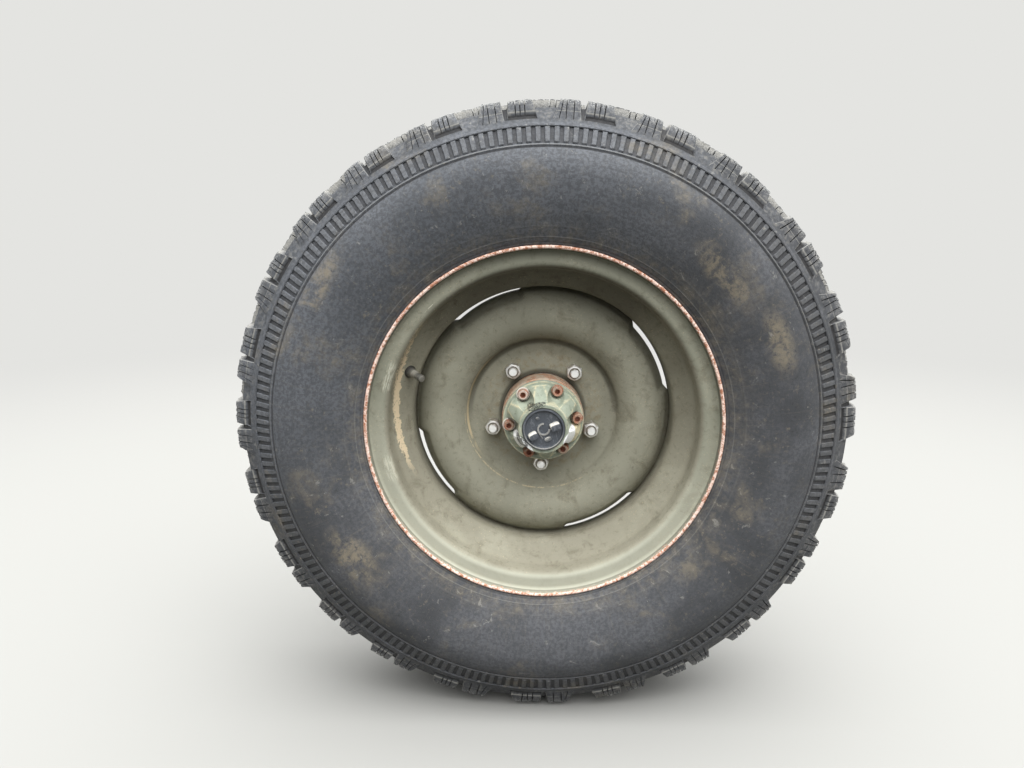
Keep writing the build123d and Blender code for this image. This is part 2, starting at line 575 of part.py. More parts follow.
# Free-wheeling lock: flanged body, screws and dial. Six flats and the spot faces round the screws
# leave six webs that widen towards the front ring.
with BuildPart() as lock_body:
    ring_y = LOCK_FRONT_Y + LOCK_RING
    seat_y = LOCK_FRONT_Y + DIAL_SEAT
    with BuildSketch(SECTION):
        with BuildLine():
            Polyline(
                (LOCK_BORE_R, HUB_END_Y), (LOCK_FLANGE_R, HUB_END_Y), (LOCK_FLANGE_R, LOCK_FLANGE_Y),
                (LOCK_CONE_R, LOCK_FLANGE_Y), (LOCK_CONE_R, LOCK_FLANGE_Y - LOCK_STEP),
                (LOCK_FRONT_R, ring_y), (LOCK_FRONT_R, LOCK_FRONT_Y), (DIAL_R + SEAT_GAP, LOCK_FRONT_Y),
                (DIAL_R + SEAT_GAP, seat_y), (DIAL_R - 2 * DIAL_RIM, seat_y),
                (LOCK_BORE_R, LOCK_FLANGE_Y), close=True)
        make_face()
    revolve(axis=Axis.Y)
    for number in range(LOCK_SCREWS):
        turn = radians(LOCK_SCREW_FIRST + number * 360 / LOCK_SCREWS)
        outward = (cos(turn), 0, sin(turn))
        along = (-sin(turn), 0, cos(turn))
        with BuildSketch(Plane(origin=(0, 0, 0), x_dir=outward, z_dir=along)):
            Polygon((LOCK_FLAT_R, LOCK_FLANGE_Y), (LOCK_FRONT_R + SEAT_GAP, ring_y),
                    (LOCK_FLANGE_R, ring_y), (LOCK_FLANGE_R, LOCK_FLANGE_Y), align=None)
        extrude(amount=LOCK_FLANGE_R, both=True, mode=Mode.SUBTRACT)
    with BuildSketch(facing_out(LOCK_FLANGE_Y)):
        with PolarLocations(LOCK_SCREW_RING_R, LOCK_SCREWS, start_angle=LOCK_SCREW_FIRST):
            Circle(POCKET_R)
    extrude(amount=LOCK_FLANGE_Y - ring_y, mode=Mode.SUBTRACT)
    with BuildSketch(facing_out(HUB_END_Y)):
        with PolarLocations(LOCK_SCREW_RING_R, LOCK_SCREWS, start_angle=LOCK_SCREW_FIRST):
            Circle(CAP_SHANK_R + HOLE_GAP)
    extrude(amount=LOCK_FLANGE, mode=Mode.SUBTRACT)
finish(lock_body.part, "lock_body")

with BuildPart() as lock_screws:
    with BuildSketch(facing_out(LOCK_FLANGE_Y)):
        with PolarLocations(LOCK_SCREW_RING_R, LOCK_SCREWS, start_angle=LOCK_SCREW_FIRST):
            Circle(CAP_R)
    extrude(amount=CAP_HEAD)
    with BuildSketch(facing_out(LOCK_FLANGE_Y - CAP_HEAD / 2)):
        with PolarLocations(LOCK_SCREW_RING_R, LOCK_SCREWS, start_angle=LOCK_SCREW_FIRST):
            RegularPolygon(CAP_SOCKET / 2, 6, major_radius=False)
    extrude(amount=CAP_HEAD, mode=Mode.SUBTRACT)
    with BuildSketch(facing_out(LOCK_FLANGE_Y)):
        with PolarLocations(LOCK_SCREW_RING_R, LOCK_SCREWS, start_angle=LOCK_SCREW_FIRST):
            Circle(CAP_SHANK_R)
    extrude(amount=-CAP_SHANK)
finish(lock_screws.part, "lock_screws")

with BuildPart() as lock_dial:
    with BuildSketch(facing_out(LOCK_FRONT_Y + DIAL_SEAT)):
        Circle(DIAL_R)
    extrude(amount=LOCK_FRONT_Y + DIAL_SEAT - DIAL_FRONT_Y)
    with BuildSketch(facing_out(DIAL_FRONT_Y + DIAL_RECESS)):
        Circle(DIAL_R - DIAL_RIM)
    extrude(amount=DIAL_RECESS, mode=Mode.SUBTRACT)
    with BuildSketch(facing_out(DIAL_FRONT_Y + DIAL_RECESS)):
        Circle(DIAL_BOSS_R)
        with PolarLocations(DIAL_R - DIAL_RIM - GRIP_MARGIN - GRIP_LENGTH / 2, 2, start_angle=DIAL_TURN):
            Rectangle(GRIP_LENGTH, GRIP_WIDTH)
    extrude(amount=DIAL_RECESS)
finish(lock_dial.part, "lock_dial")

# Valve, square to the slope that drops into the well
with BuildPart() as valve:
    slope_in = (WELL_R, RIM_CENTRE_Y - WELL_WIDTH / 2)
    slope_out = (SEAT_INNER_R - SEAT_DROP, RIM_CENTRE_Y - FLANGE_FACE + BEAD_SEAT_WIDTH)
    mid_r = (slope_in[0] + slope_out[0]) / 2
    mid_y = (slope_in[1] + slope_out[1]) / 2
    run, rise = slope_out[0] - slope_in[0], slope_in[1] - slope_out[1]
    turn = radians(VALVE_ANGLE)
    normal = Vector(-rise * cos(turn), -run, -rise * sin(turn)).normalized()
    foot = Vector(mid_r * cos(turn), mid_y, mid_r * sin(turn)) + normal * SEAT_GAP
    with BuildSketch(Plane(origin=foot, z_dir=normal)):
        Circle(VALVE_HEAD_R)
    extrude(amount=VALVE_HEAD)
    with BuildSketch(Plane(origin=foot, z_dir=normal)):
        Circle(VALVE_R)
    extrude(amount=VALVE_LENGTH)
finish(valve.part, "valve")
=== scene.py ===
"""Dresses the front wheel end: an all-terrain tyre on a pressed steel wheel, with its hub, its
free-wheeling lock and the drum brake behind it.

Meshes are worked out in millimetres in the part's own frame and stored in metres: -Y is the wheel's
outer side, +Z is up, and the wheel turns about Y. An outline is an array of (radius, station) rows.
"""
import logging
import math
from dataclasses import dataclass
from enum import Enum

import bpy
import numpy as np
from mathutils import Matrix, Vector


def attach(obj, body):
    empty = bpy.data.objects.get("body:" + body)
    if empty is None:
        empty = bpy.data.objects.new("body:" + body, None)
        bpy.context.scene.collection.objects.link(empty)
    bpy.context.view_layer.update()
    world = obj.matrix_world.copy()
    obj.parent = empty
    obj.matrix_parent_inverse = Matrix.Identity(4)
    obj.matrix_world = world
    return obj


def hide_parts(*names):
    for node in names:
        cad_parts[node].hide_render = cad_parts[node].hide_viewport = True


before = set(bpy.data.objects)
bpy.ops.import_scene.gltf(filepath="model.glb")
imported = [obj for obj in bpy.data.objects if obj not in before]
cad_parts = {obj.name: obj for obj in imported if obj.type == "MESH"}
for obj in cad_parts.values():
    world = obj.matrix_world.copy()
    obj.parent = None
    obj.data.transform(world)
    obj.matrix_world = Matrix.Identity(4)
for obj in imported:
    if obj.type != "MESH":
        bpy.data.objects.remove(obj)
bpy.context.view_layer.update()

Array = np.ndarray
Socket = bpy.types.NodeSocket
LOG = logging.getLogger("wheel_end")
MM = 0.001
CENTRE_Y = -97.15  # middle plane of tyre and rim, millimetres


class Body(Enum):
    """The two moving bodies that a piece can ride on."""

    SPINDLE = "spindle"
    WHEEL = "wheel"


class Zone(Enum):
    """Bands of the tread, from the shoulder's foot to the middle of the crown."""

    FOOT = 0
    LOWER = 1
    UPPER = 2
    CROWN = 3
    CENTRE = 4


class Kind(Enum):
    """What a column of the tread's pattern runs over."""

    GAP = 0
    SLOT = 1
    BAR = 2
    BAR_EDGE = 3
    SIPE = 4
    CLEAT = 5
    CLEAT_EDGE = 6
    CLEAT_SIPE = 7


# Shapes as arrays


def smoothstep(low: float, high: float, value: Array) -> Array:
    """Smooth ramp from 0 at low to 1 at high: t squared times (3 - 2t), with t held to 0..1."""
    t = np.clip((value - low) / (high - low), 0.0, 1.0)
    return t * t * (3.0 - 2.0 * t)


def bend(corners: Array, radii: Array, steps: int = 7) -> Array:
    """Rounds the inner corners of an open outline.

    At a corner with unit directions a and b to its neighbours and half angle h between them, the
    arc's centre lies along a + b at radius / sin h, and its points swing from the foot on one side
    to the foot on the other by equal angles.

    Args:
        corners: the outline's corners, [n, 2].
        radii: one bend radius for each inner corner, [n - 2].
        steps: points in each bend.

    Returns:
        The rounded outline, with two extra points near the ends of each straight run.
    """
    corners = np.asarray(corners, float)
    radii = np.maximum(np.asarray(radii, float), 0.05)[:, None]
    apex = corners[1:-1]
    a = corners[:-2] - apex
    b = corners[2:] - apex
    a /= np.linalg.norm(a, axis=1, keepdims=True)
    b /= np.linalg.norm(b, axis=1, keepdims=True)
    half = np.arccos(np.clip((a * b).sum(1), -0.9999, 0.9999))[:, None] / 2
    middle = apex + (a + b) / np.linalg.norm(a + b, axis=1, keepdims=True) * radii / np.sin(half)
    first = apex + a * radii / np.tan(half)
    last = apex + b * radii / np.tan(half)
    swing = (math.pi - 2 * half)[:, None, :]
    t = np.linspace(0.0, 1.0, steps)[None, :, None]
    start, stop = (first - middle)[:, None, :], (last - middle)[:, None, :]
    arcs = middle[:, None, :] + (start * np.sin((1 - t) * swing) + stop * np.sin(t * swing)) / np.sin(swing)
    ends_a = np.vstack([last, corners[-1:]])
    starts_a = np.vstack([corners[:1], last])
    stops_a = np.vstack([first, corners[-1:]])
    share = np.array([0.06, 0.94])[None, :, None]
    runs = starts_a[:, None, :] * (1 - share) + stops_a[:, None, :] * share
    body = np.concatenate([runs[:-1], arcs], axis=1).reshape(-1, 2)
    return np.vstack([corners[:1], body, runs[-1], ends_a[-1:]])


def arc_through(first: tuple[float, float], middle: tuple[float, float], last: tuple[float, float],
                steps: int) -> Array:
    """Arc through three points of an outline.

    The centre q is as far from all three, so 2 (p - first) . q = p . p - first . first for the other
    two points p, and the arc's points lie at equal angles round it.
    """
    a, b, c = np.array(first), np.array(middle), np.array(last)
    centre = np.linalg.solve(2 * np.stack([b - a, c - a]), [b @ b - a @ a, c @ c - a @ a])
    away = np.stack([a, b, c]) - centre
    angles = np.unwrap(np.arctan2(away[:, 1], away[:, 0]))
    t = np.linspace(angles[0], angles[2], steps)
    return centre + np.linalg.norm(away[0]) * np.stack([np.cos(t), np.sin(t)], axis=1)


def eased(line: Array, reach: float, step: float = 1.5) -> Array:
    """Outline with its creases rounded, at even steps.

    Each new point is the mean of the outline over reach to both sides, weighted by 1 + cos of the
    distance, and the ends stay because the outline is turned about them where it stops.
    """
    length = np.concatenate([[0.0], np.cumsum(np.linalg.norm(np.diff(line, axis=0), axis=1))])
    count = int(length[-1] / step) + 1
    at = np.linspace(0.0, length[-1], count)
    even = np.stack([np.interp(at, length, line[:, k]) for k in range(2)], axis=1)
    half = int(round(reach / step))
    weight = 1 + np.cos(np.arange(-half, half + 1) * math.pi / (half + 1))
    padded = np.vstack([2 * even[0] - even[half:0:-1], even, 2 * even[-1] - even[-2:-half - 2:-1]])
    return np.stack([np.convolve(padded[:, k], weight / weight.sum(), "valid") for k in range(2)], axis=1)


def sheet(line: Array, thickness: float) -> Array:
    """Closed outline of a bent sheet from one of its faces.

    Each point's partner lies thickness away along the line's normal, the direction turned left by
    a quarter turn, and both ends are closed by half rounds.

    Args:
        line: one face, [n, 2].
        thickness: of the sheet; a negative one goes to the line's right.

    Returns:
        The closed outline, [m, 2].
    """
    run = np.gradient(line, axis=0)
    run /= np.linalg.norm(run, axis=1, keepdims=True)
    normal = np.stack([-run[:, 1], run[:, 0]], axis=1)
    other = line + normal * thickness
    turn = np.linspace(0.2, 0.8, 3)[:, None] * math.pi
    reach = abs(thickness) / 2

    def cap(tip: Array, side: Array, out: Array) -> Array:
        """Half round from one face to the other: middle + side cos a + out sin a."""
        return tip + side * np.cos(turn) + out * np.sin(turn) * reach

    far = cap((line[-1] + other[-1]) / 2, (line[-1] - other[-1]) / 2, run[-1])
    near = cap((line[0] + other[0]) / 2, (other[0] - line[0]) / 2, -run[0])
    return np.vstack([line, far, other[::-1], near])


def spun(radius: Array, station: "Array | float", angle: Array) -> Array:
    """Points at given radii, stations and angles: x = r cos a, y = station, z = r sin a."""
    radius, station, angle = np.broadcast_arrays(radius, station, angle)
    return np.stack([radius * np.cos(angle), station, radius * np.sin(angle)], axis=-1)


def lathe(outline: Array, angles: Array) -> Array:
    """Outline turned about the axle.

    Args:
        outline: (radius, station) rows.
        angles: radians, one for each column.

    Returns:
        Grid of points, [angles, rows, 3].
    """
    return spun(outline[None, :, 0], outline[None, :, 1], angles[:, None])


def circle(count: int) -> Array:
    """Equal angles round a full turn, in radians, without the repeated last one."""
    return np.arange(count) * (2 * math.pi / count)


def placed(points: Array, origin: tuple[float, float, float], axis: tuple[float, float, float],
           turn: float = 0.0) -> Array:
    """Moves a shape drawn about the Y axis to another place and axis.

    The shape's -Y goes along axis, after a turn about it, and its origin goes to origin.

    Args:
        points: grid or list of points with three coordinates.
        origin: new place of the shape's origin, millimetres.
        axis: direction that the shape's front faces.
        turn: degrees about the axis, before it is swung.

    Returns:
        The points in the part's frame.
    """
    front = np.array(axis, float)
    front /= np.linalg.norm(front)
    up = np.array([0.0, 0.0, 1.0]) if abs(front[2]) < 0.9 else np.array([0.0, 1.0, 0.0])
    side = np.cross(up, -front)
    side /= -np.linalg.norm(side)
    top = np.cross(side, -front)
    c, s = math.cos(math.radians(turn)), math.sin(math.radians(turn))
    x, z = points[..., 0] * c - points[..., 2] * s, points[..., 0] * s + points[..., 2] * c
    out = x[..., None] * side + points[..., 1:2] * -front + z[..., None] * top
    return out + np.array(origin, float)


def ring_places(radius: float, station: float, count: int, first: float) -> list[tuple[float, float, float]]:
    """Places of equally spaced fasteners on a circle round the axle, from the first angle in degrees."""
    return [tuple(place) for place in spun(radius, station, np.radians(first) + circle(count))]


def hexagon(angles: Array, flats: float) -> Array:
    """Radius of a hexagon at each angle: half the flats over cos of the angle from the nearest flat."""
    sector = math.pi / 3
    return flats / 2 / np.cos((angles + sector / 2) % sector - sector / 2)


def puffed_block(size: tuple[float, float, float], power: float, edge: float,
                 lean: tuple[float, float] = (0.0, 0.0)) -> Array:
    """Rounded block that stands on the plane y = 0 and rises along -Y.

    Across, it is a superellipse: x = a |cos u|^(2/p), z = b |sin u|^(2/p) with their signs. Its sides
    pull in over the last part of its height on a quarter round, and its front is flat.

    Args:
        size: width along x, height along -y, width along z, in millimetres.
        power: of the superellipse; 2 is an ellipse and high ones are square.
        edge: share of the height that the round takes.
        lean: shift of the front against the foot along x and z, which slopes the sides.

    Returns:
        Grid of points, [48, 9, 3], for a drum: foot, seven rows of the side, the front's middle.
    """
    u = circle(48)[:, None]
    t = np.linspace(0.0, math.pi / 2, 6)
    rise = np.concatenate([[-0.3, 0.0], (1 - edge) + edge * np.sin(t), [1.0]])[None, :]
    pull = np.concatenate([[1.0, 1.0], 1 - edge * 0.6 * (1 - np.cos(t)), [0.3]])[None, :]
    drift = np.maximum(rise, 0.0)
    x = size[0] / 2 * np.sign(np.cos(u)) * np.abs(np.cos(u)) ** (2 / power) * pull + lean[0] * drift
    z = size[2] / 2 * np.sign(np.sin(u)) * np.abs(np.sin(u)) ** (2 / power) * pull + lean[1] * drift
    return np.stack([x, -size[1] * rise + 0 * x, z], axis=-1)


class Skin:
    """Closed skins in millimetres that become one mesh in metres."""

    def __init__(self) -> None:
        """Starts with no skin."""
        self.points: list[Array] = []
        self.faces: list[Array] = []
        self.marks: list[Array] = []
        self.count = 0

    def _take(self, points: Array, faces: list[Array], mark: Array | None) -> "Skin":
        """Adds one closed skin, turned so that its faces point outwards.

        The enclosed volume is the sum of p0 . (p1 x p2) / 6 over the faces' triangles, and a
        negative one means that the skin is inside out.
        """
        volume = 0.0
        for f in faces:
            p = points[f]
            volume += np.einsum("ij,ij->i", p[:, 0], np.cross(p[:, 1], p[:, 2])).sum()
            if f.shape[1] == 4:
                volume += np.einsum("ij,ij->i", p[:, 0], np.cross(p[:, 2], p[:, 3])).sum()
        order = slice(None) if volume > 0 else slice(None, None, -1)
        self.faces += [f[:, order] + self.count for f in faces]
        self.points.append(points)
        self.marks.append(np.zeros(len(points)) if mark is None else mark.reshape(-1))
        self.count += len(points)
        return self

    @staticmethod
    def _quads(columns: int, rows: int, wrap: bool) -> Array:
        """Corner numbers of the quads of a grid that closes along its columns, and along its rows if wrap."""
        i = np.arange(columns)[:, None]
        j = np.arange(rows if wrap else rows - 1)[None, :]
        i2, j2 = (i + 1) % columns, (j + 1) % rows
        return np.stack([i * rows + j, i2 * rows + j, i2 * rows + j2, i * rows + j2], axis=-1).reshape(-1, 4)

    def ring(self, grid: Array, mark: Array | None = None) -> "Skin":
        """Adds a grid that closes both ways, like a turned closed outline."""
        columns, rows = grid.shape[:2]
        return self._take(grid.reshape(-1, 3), [self._quads(columns, rows, True)], mark)

    def drum(self, grid: Array, mark: Array | None = None) -> "Skin":
        """Adds a grid that closes along its columns, with each end row closed by a fan to its middle."""
        columns, rows = grid.shape[:2]
        quads = self._quads(columns, rows, False)
        points = np.vstack([grid.reshape(-1, 3), grid[:, 0].mean(0), grid[:, -1].mean(0)])
        if mark is not None:
            mark = np.concatenate([mark.reshape(-1), [mark[:, 0].mean(), mark[:, -1].mean()]])
        i = np.arange(columns)
        i2 = (i + 1) % columns
        middle = columns * rows
        first = np.stack([i2 * rows, i * rows, np.full(columns, middle)], axis=-1)
        last = np.stack([i * rows + rows - 1, i2 * rows + rows - 1, np.full(columns, middle + 1)], axis=-1)
        return self._take(points, [quads, np.vstack([first, last])], mark)

    def copies(self, shape: Array, tone: Array, spots: list[tuple], twist: float) -> "Skin":
        """Adds a drum that faces outwards at each spot, each turned by twist degrees more than the last."""
        for number, spot in enumerate(spots):
            self.drum(placed(shape, spot, (0, -1, 0), twist * number), np.broadcast_to(tone, shape.shape[:2]))
        return self

    def build(self, name: str, crease: float) -> bpy.types.Object:
        """Makes the mesh and its object.

        Args:
            name: of the piece.
            crease: degrees, above which an edge is shaded sharp.

        Returns:
            The object, at the origin.
        """
        points = np.concatenate(self.points) * MM
        loops = np.concatenate([f.reshape(-1) for f in self.faces]).astype(np.int32)
        totals = np.concatenate([np.full(len(f), f.shape[1]) for f in self.faces])
        starts = np.concatenate([[0], np.cumsum(totals)[:-1]]).astype(np.int32)
        mesh = bpy.data.meshes.new(name)
        mesh.vertices.add(len(points))
        mesh.vertices.foreach_set("co", points.astype(np.float32).reshape(-1))
        mesh.loops.add(len(loops))
        mesh.loops.foreach_set("vertex_index", loops)
        mesh.polygons.add(len(starts))
        mesh.polygons.foreach_set("loop_start", starts)
        mesh.update(calc_edges=True)
        # Marks for the finishes, per point: worn edges and painted highlights above 0, hollows and painted
        # shade below it
        wear_and_light = mesh.attributes.new("wear_and_light", "FLOAT", "POINT")
        wear_and_light.data.foreach_set("value", np.concatenate(self.marks).astype(np.float32))
        mesh.shade_smooth()
        mesh.set_sharp_from_angle(angle=math.radians(crease))
        piece = bpy.data.objects.new(name, mesh)
        bpy.context.scene.collection.objects.link(piece)
        LOG.info("%s: %d vertices, %d faces", name, len(points), len(starts))
        return piece


# Finishes


def colour(code: str) -> tuple[float, float, float, float]:
    """Linear colour of an RRGGBB code: c / 12.92 below 0.04045, else ((c + 0.055) / 1.055) to the 2.4."""
    parts = np.array([int(code[i:i + 2], 16) for i in (0, 2, 4)]) / 255
    linear = np.where(parts <= 0.04045, parts / 12.92, ((parts + 0.055) / 1.055) ** 2.4)
    return (*linear.tolist(), 1.0)


def fill(node: bpy.types.Node, inputs: dict) -> bpy.types.Node:
    """Links a node's inputs, given by name or number, to other sockets, or sets their own values."""
    for key, value in inputs.items():
        if isinstance(value, bpy.types.NodeSocket):
            node.id_data.links.new(value, node.inputs[key])
        else:
            node.inputs[key].default_value = value
    return node


def wired(tree: bpy.types.NodeTree, kind: str, inputs: dict, **settings: "str | bool") -> bpy.types.Node:
    """Makes a shader node of a kind, changes its settings and fills its inputs."""
    node = tree.nodes.new("ShaderNode" + kind)
    for name, value in settings.items():
        setattr(node, name, value)
    return fill(node, inputs)


class Finish:
    """Writes the nodes of one material on a Principled shader."""

    def __init__(self, name: str, code: str) -> None:
        """Starts a material with its base colour and its shader, and the place on the piece as a vector."""
        self.base = colour(code)
        self.material = bpy.data.materials.new(name)
        self.material.use_nodes = True
        self.tree = self.material.node_tree
        self.tree.nodes.clear()
        self.shader = wired(self.tree, "BsdfPrincipled", {})
        wired(self.tree, "OutputMaterial", {"Surface": self.shader.outputs["BSDF"]})
        self.place = wired(self.tree, "TexCoord", {}).outputs["Object"]

    def math(self, operation: str, a: "Socket | float", b: "Socket | float" = 0.0,
             clamp: bool = False) -> Socket:
        """One Math node of two values."""
        return wired(self.tree, "Math", {0: a, 1: b}, operation=operation, use_clamp=clamp).outputs[0]

    def times(self, *values: "Socket | float") -> Socket:
        """Product of several values, held to 0..1."""
        result = values[0]
        for value in values[1:]:
            result = self.math("MULTIPLY", result, value, clamp=True)
        return result

    def most(self, *values: Socket) -> Socket:
        """The greatest of several values."""
        result = values[0]
        for value in values[1:]:
            result = self.math("MAXIMUM", result, value)
        return result

    def plus(self, value: Socket, other: Socket, share: float) -> Socket:
        """A value plus a share of another."""
        return self.math("ADD", value, self.math("MULTIPLY", other, share))

    def frayed(self, value: Socket, noise: Socket, reach: float) -> Socket:
        """A value that noise sways by half of reach to both sides, for ragged edges."""
        return self.plus(value, self.math("SUBTRACT", noise, 0.5), reach)

    def vector(self, operation: str, a: Socket, b: "Socket | tuple" = (0.0, 0.0, 0.0)) -> Socket:
        """One Vector Math node; LENGTH gives its value output."""
        node = wired(self.tree, "VectorMath", {0: a, 1: b}, operation=operation)
        return node.outputs["Value" if operation == "LENGTH" else "Vector"]

    def radius(self) -> Socket:
        """Distance from the axle in millimetres: the length of (x, 0, z) times 1000."""
        flat = self.vector("MULTIPLY", self.place, (1000.0, 0.0, 1000.0))
        return self.vector("LENGTH", flat)

    def turn(self) -> Socket:
        """Degrees round the axle from the leftmost spoke, growing anticlockwise: the seam is at the right."""
        left = self.math("MULTIPLY", self.axis("X"), -1.0)
        low = self.math("MULTIPLY", self.axis("Z"), -1.0)
        return self.math("MULTIPLY", self.math("ARCTAN2", low, left), 180.0 / math.pi)

    def axis(self, letter: str) -> Socket:
        """One coordinate of the place, in metres."""
        return wired(self.tree, "SeparateXYZ", {0: self.place}).outputs[letter]

    def around(self, angle: float, radius: float, half_turn: float, half_width: float) -> Socket:
        """Soft mask round a spot given by its angle in degrees and its radius in millimetres.

        It is 1 within the spot and falls to 0 at half_turn degrees round the axle or half_width
        millimetres across, as the length of the offset in units of the two.
        """
        way = math.radians(angle)
        node = wired(self.tree, "Mapping", {
            "Vector": self.place,
            "Location": (radius * MM * math.cos(way), 0.0, radius * MM * math.sin(way)),
            "Rotation": (0.0, -way, 0.0),
            "Scale": (half_width * MM, 1000.0, radius * MM * math.radians(half_turn)),
        }, vector_type="TEXTURE")
        return self.ramp(self.vector("LENGTH", node.outputs[0]), 1.0, 0.35)

    def grain(self, place: Socket, scale: float, detail: float, roughness: float,
              distortion: float = 0.0) -> Socket:
        """One Noise node on a vector."""
        return wired(self.tree, "TexNoise", {"Vector": place, "Scale": scale, "Detail": detail,
                                             "Roughness": roughness, "Distortion": distortion}).outputs["Fac"]

    def noise(self, scale: float, detail: float = 3.0, roughness: float = 0.55, distortion: float = 0.0,
              stretch: tuple[float, float, float] | None = None) -> Socket:
        """Noise on the place; scale is in features per metre, and stretch multiplies the axes first."""
        place = self.vector("MULTIPLY", self.place, stretch) if stretch else self.place
        return self.grain(place, scale, detail, roughness, distortion)

    def polar(self, around: float, across: float, detail: float = 3.0, roughness: float = 0.6) -> Socket:
        """Noise on turned coordinates, drawn out into rings or into radial streaks.

        It reads the vector (u around, r across), where u is the unit direction from the axle and r
        the distance in metres, so it has no seam. A large across gives rings, a large around streaks.
        """
        flat = self.vector("MULTIPLY", self.place, (1.0, 0.0, 1.0))
        unit = self.vector("MULTIPLY", self.vector("NORMALIZE", flat), (around, 0.0, around))
        away = self.math("MULTIPLY", self.vector("LENGTH", flat), across)
        along = wired(self.tree, "CombineXYZ", {"Y": away}).outputs[0]
        return self.grain(self.vector("ADD", unit, along), 1.0, detail, roughness)

    def ramp(self, value: Socket, low: float, high: float, top: float = 1.0) -> Socket:
        """Smooth ramp of a value: 0 at low and top at high, where low may be the larger."""
        first, last = (top, 0.0) if low > high else (0.0, top)
        node = wired(self.tree, "MapRange", {
            "Value": value, "From Min": min(low, high), "From Max": max(low, high), "To Min": first,
            "To Max": last}, interpolation_type="SMOOTHSTEP")
        return node.outputs["Result"]

    def band(self, value: Socket, middle: float, half: float, soft: float) -> Socket:
        """1 within half of middle, falling to 0 over soft more."""
        off = self.math("ABSOLUTE", self.math("SUBTRACT", value, middle))
        return self.ramp(off, half + soft, half)

    def mix(self, share: "Socket | float", a: "Socket | tuple", b: "Socket | tuple") -> Socket:
        """Mix of two colours by a share."""
        return wired(self.tree, "Mix", {0: share, 6: a, 7: b}, data_type="RGBA").outputs[2]

    def coat(self, share: "Socket | float", over: "Socket | str") -> None:
        """Lays a colour, given by its code or as a socket, over the base by a share."""
        self.base = self.mix(share, self.base, colour(over) if isinstance(over, str) else over)

    def blend(self, share: Socket, a: "Socket | float", b: "Socket | float") -> Socket:
        """Mix of two values by a share."""
        return wired(self.tree, "Mix", {0: share, 2: a, 3: b}).outputs[0]

    def bump(self, height: Socket, depth: float, normal: Socket | None = None) -> Socket:
        """Bump from a height of 0..1 whose full depth is in millimetres."""
        under = {} if normal is None else {"Normal": normal}
        node = wired(self.tree, "Bump", {"Distance": depth * MM, "Height": height, **under})
        return node.outputs["Normal"]

    def mark(self) -> Socket:
        """The piece's marks, worked out with its mesh: above 0 on worn edges and painted highlights, below it
        in hollows, mostly painted shade.
        """
        return wired(self.tree, "Attribute", {}, attribute_name="wear_and_light").outputs["Fac"]

    def wear_and_light(self, worn: str, hollow: str, depth: float) -> None:
        """Pales the marked edges of a steel and darkens its marked hollows, by depth at most: painted
        highlights and painted shade on the nuts and studs, pale washers and rusty sockets on the screws.
        """
        mark = self.mark()
        self.coat(self.ramp(mark, 0.0, 1.0, 0.9), worn)
        self.coat(self.ramp(mark, 0.0, -1.0, depth), hollow)

    def done(self, rough: "Socket | float", metal: "Socket | float" = 0.0, normal: Socket | None = None,
             specular: float = 0.5) -> bpy.types.Material:
        """Sets the shader's main inputs and returns the material."""
        bumps = {} if normal is None else {"Normal": normal}
        fill(self.shader, {"Base Color": self.base, "Roughness": rough, "Metallic": metal,
                           "Specular IOR Level": specular, **bumps})
        return self.material


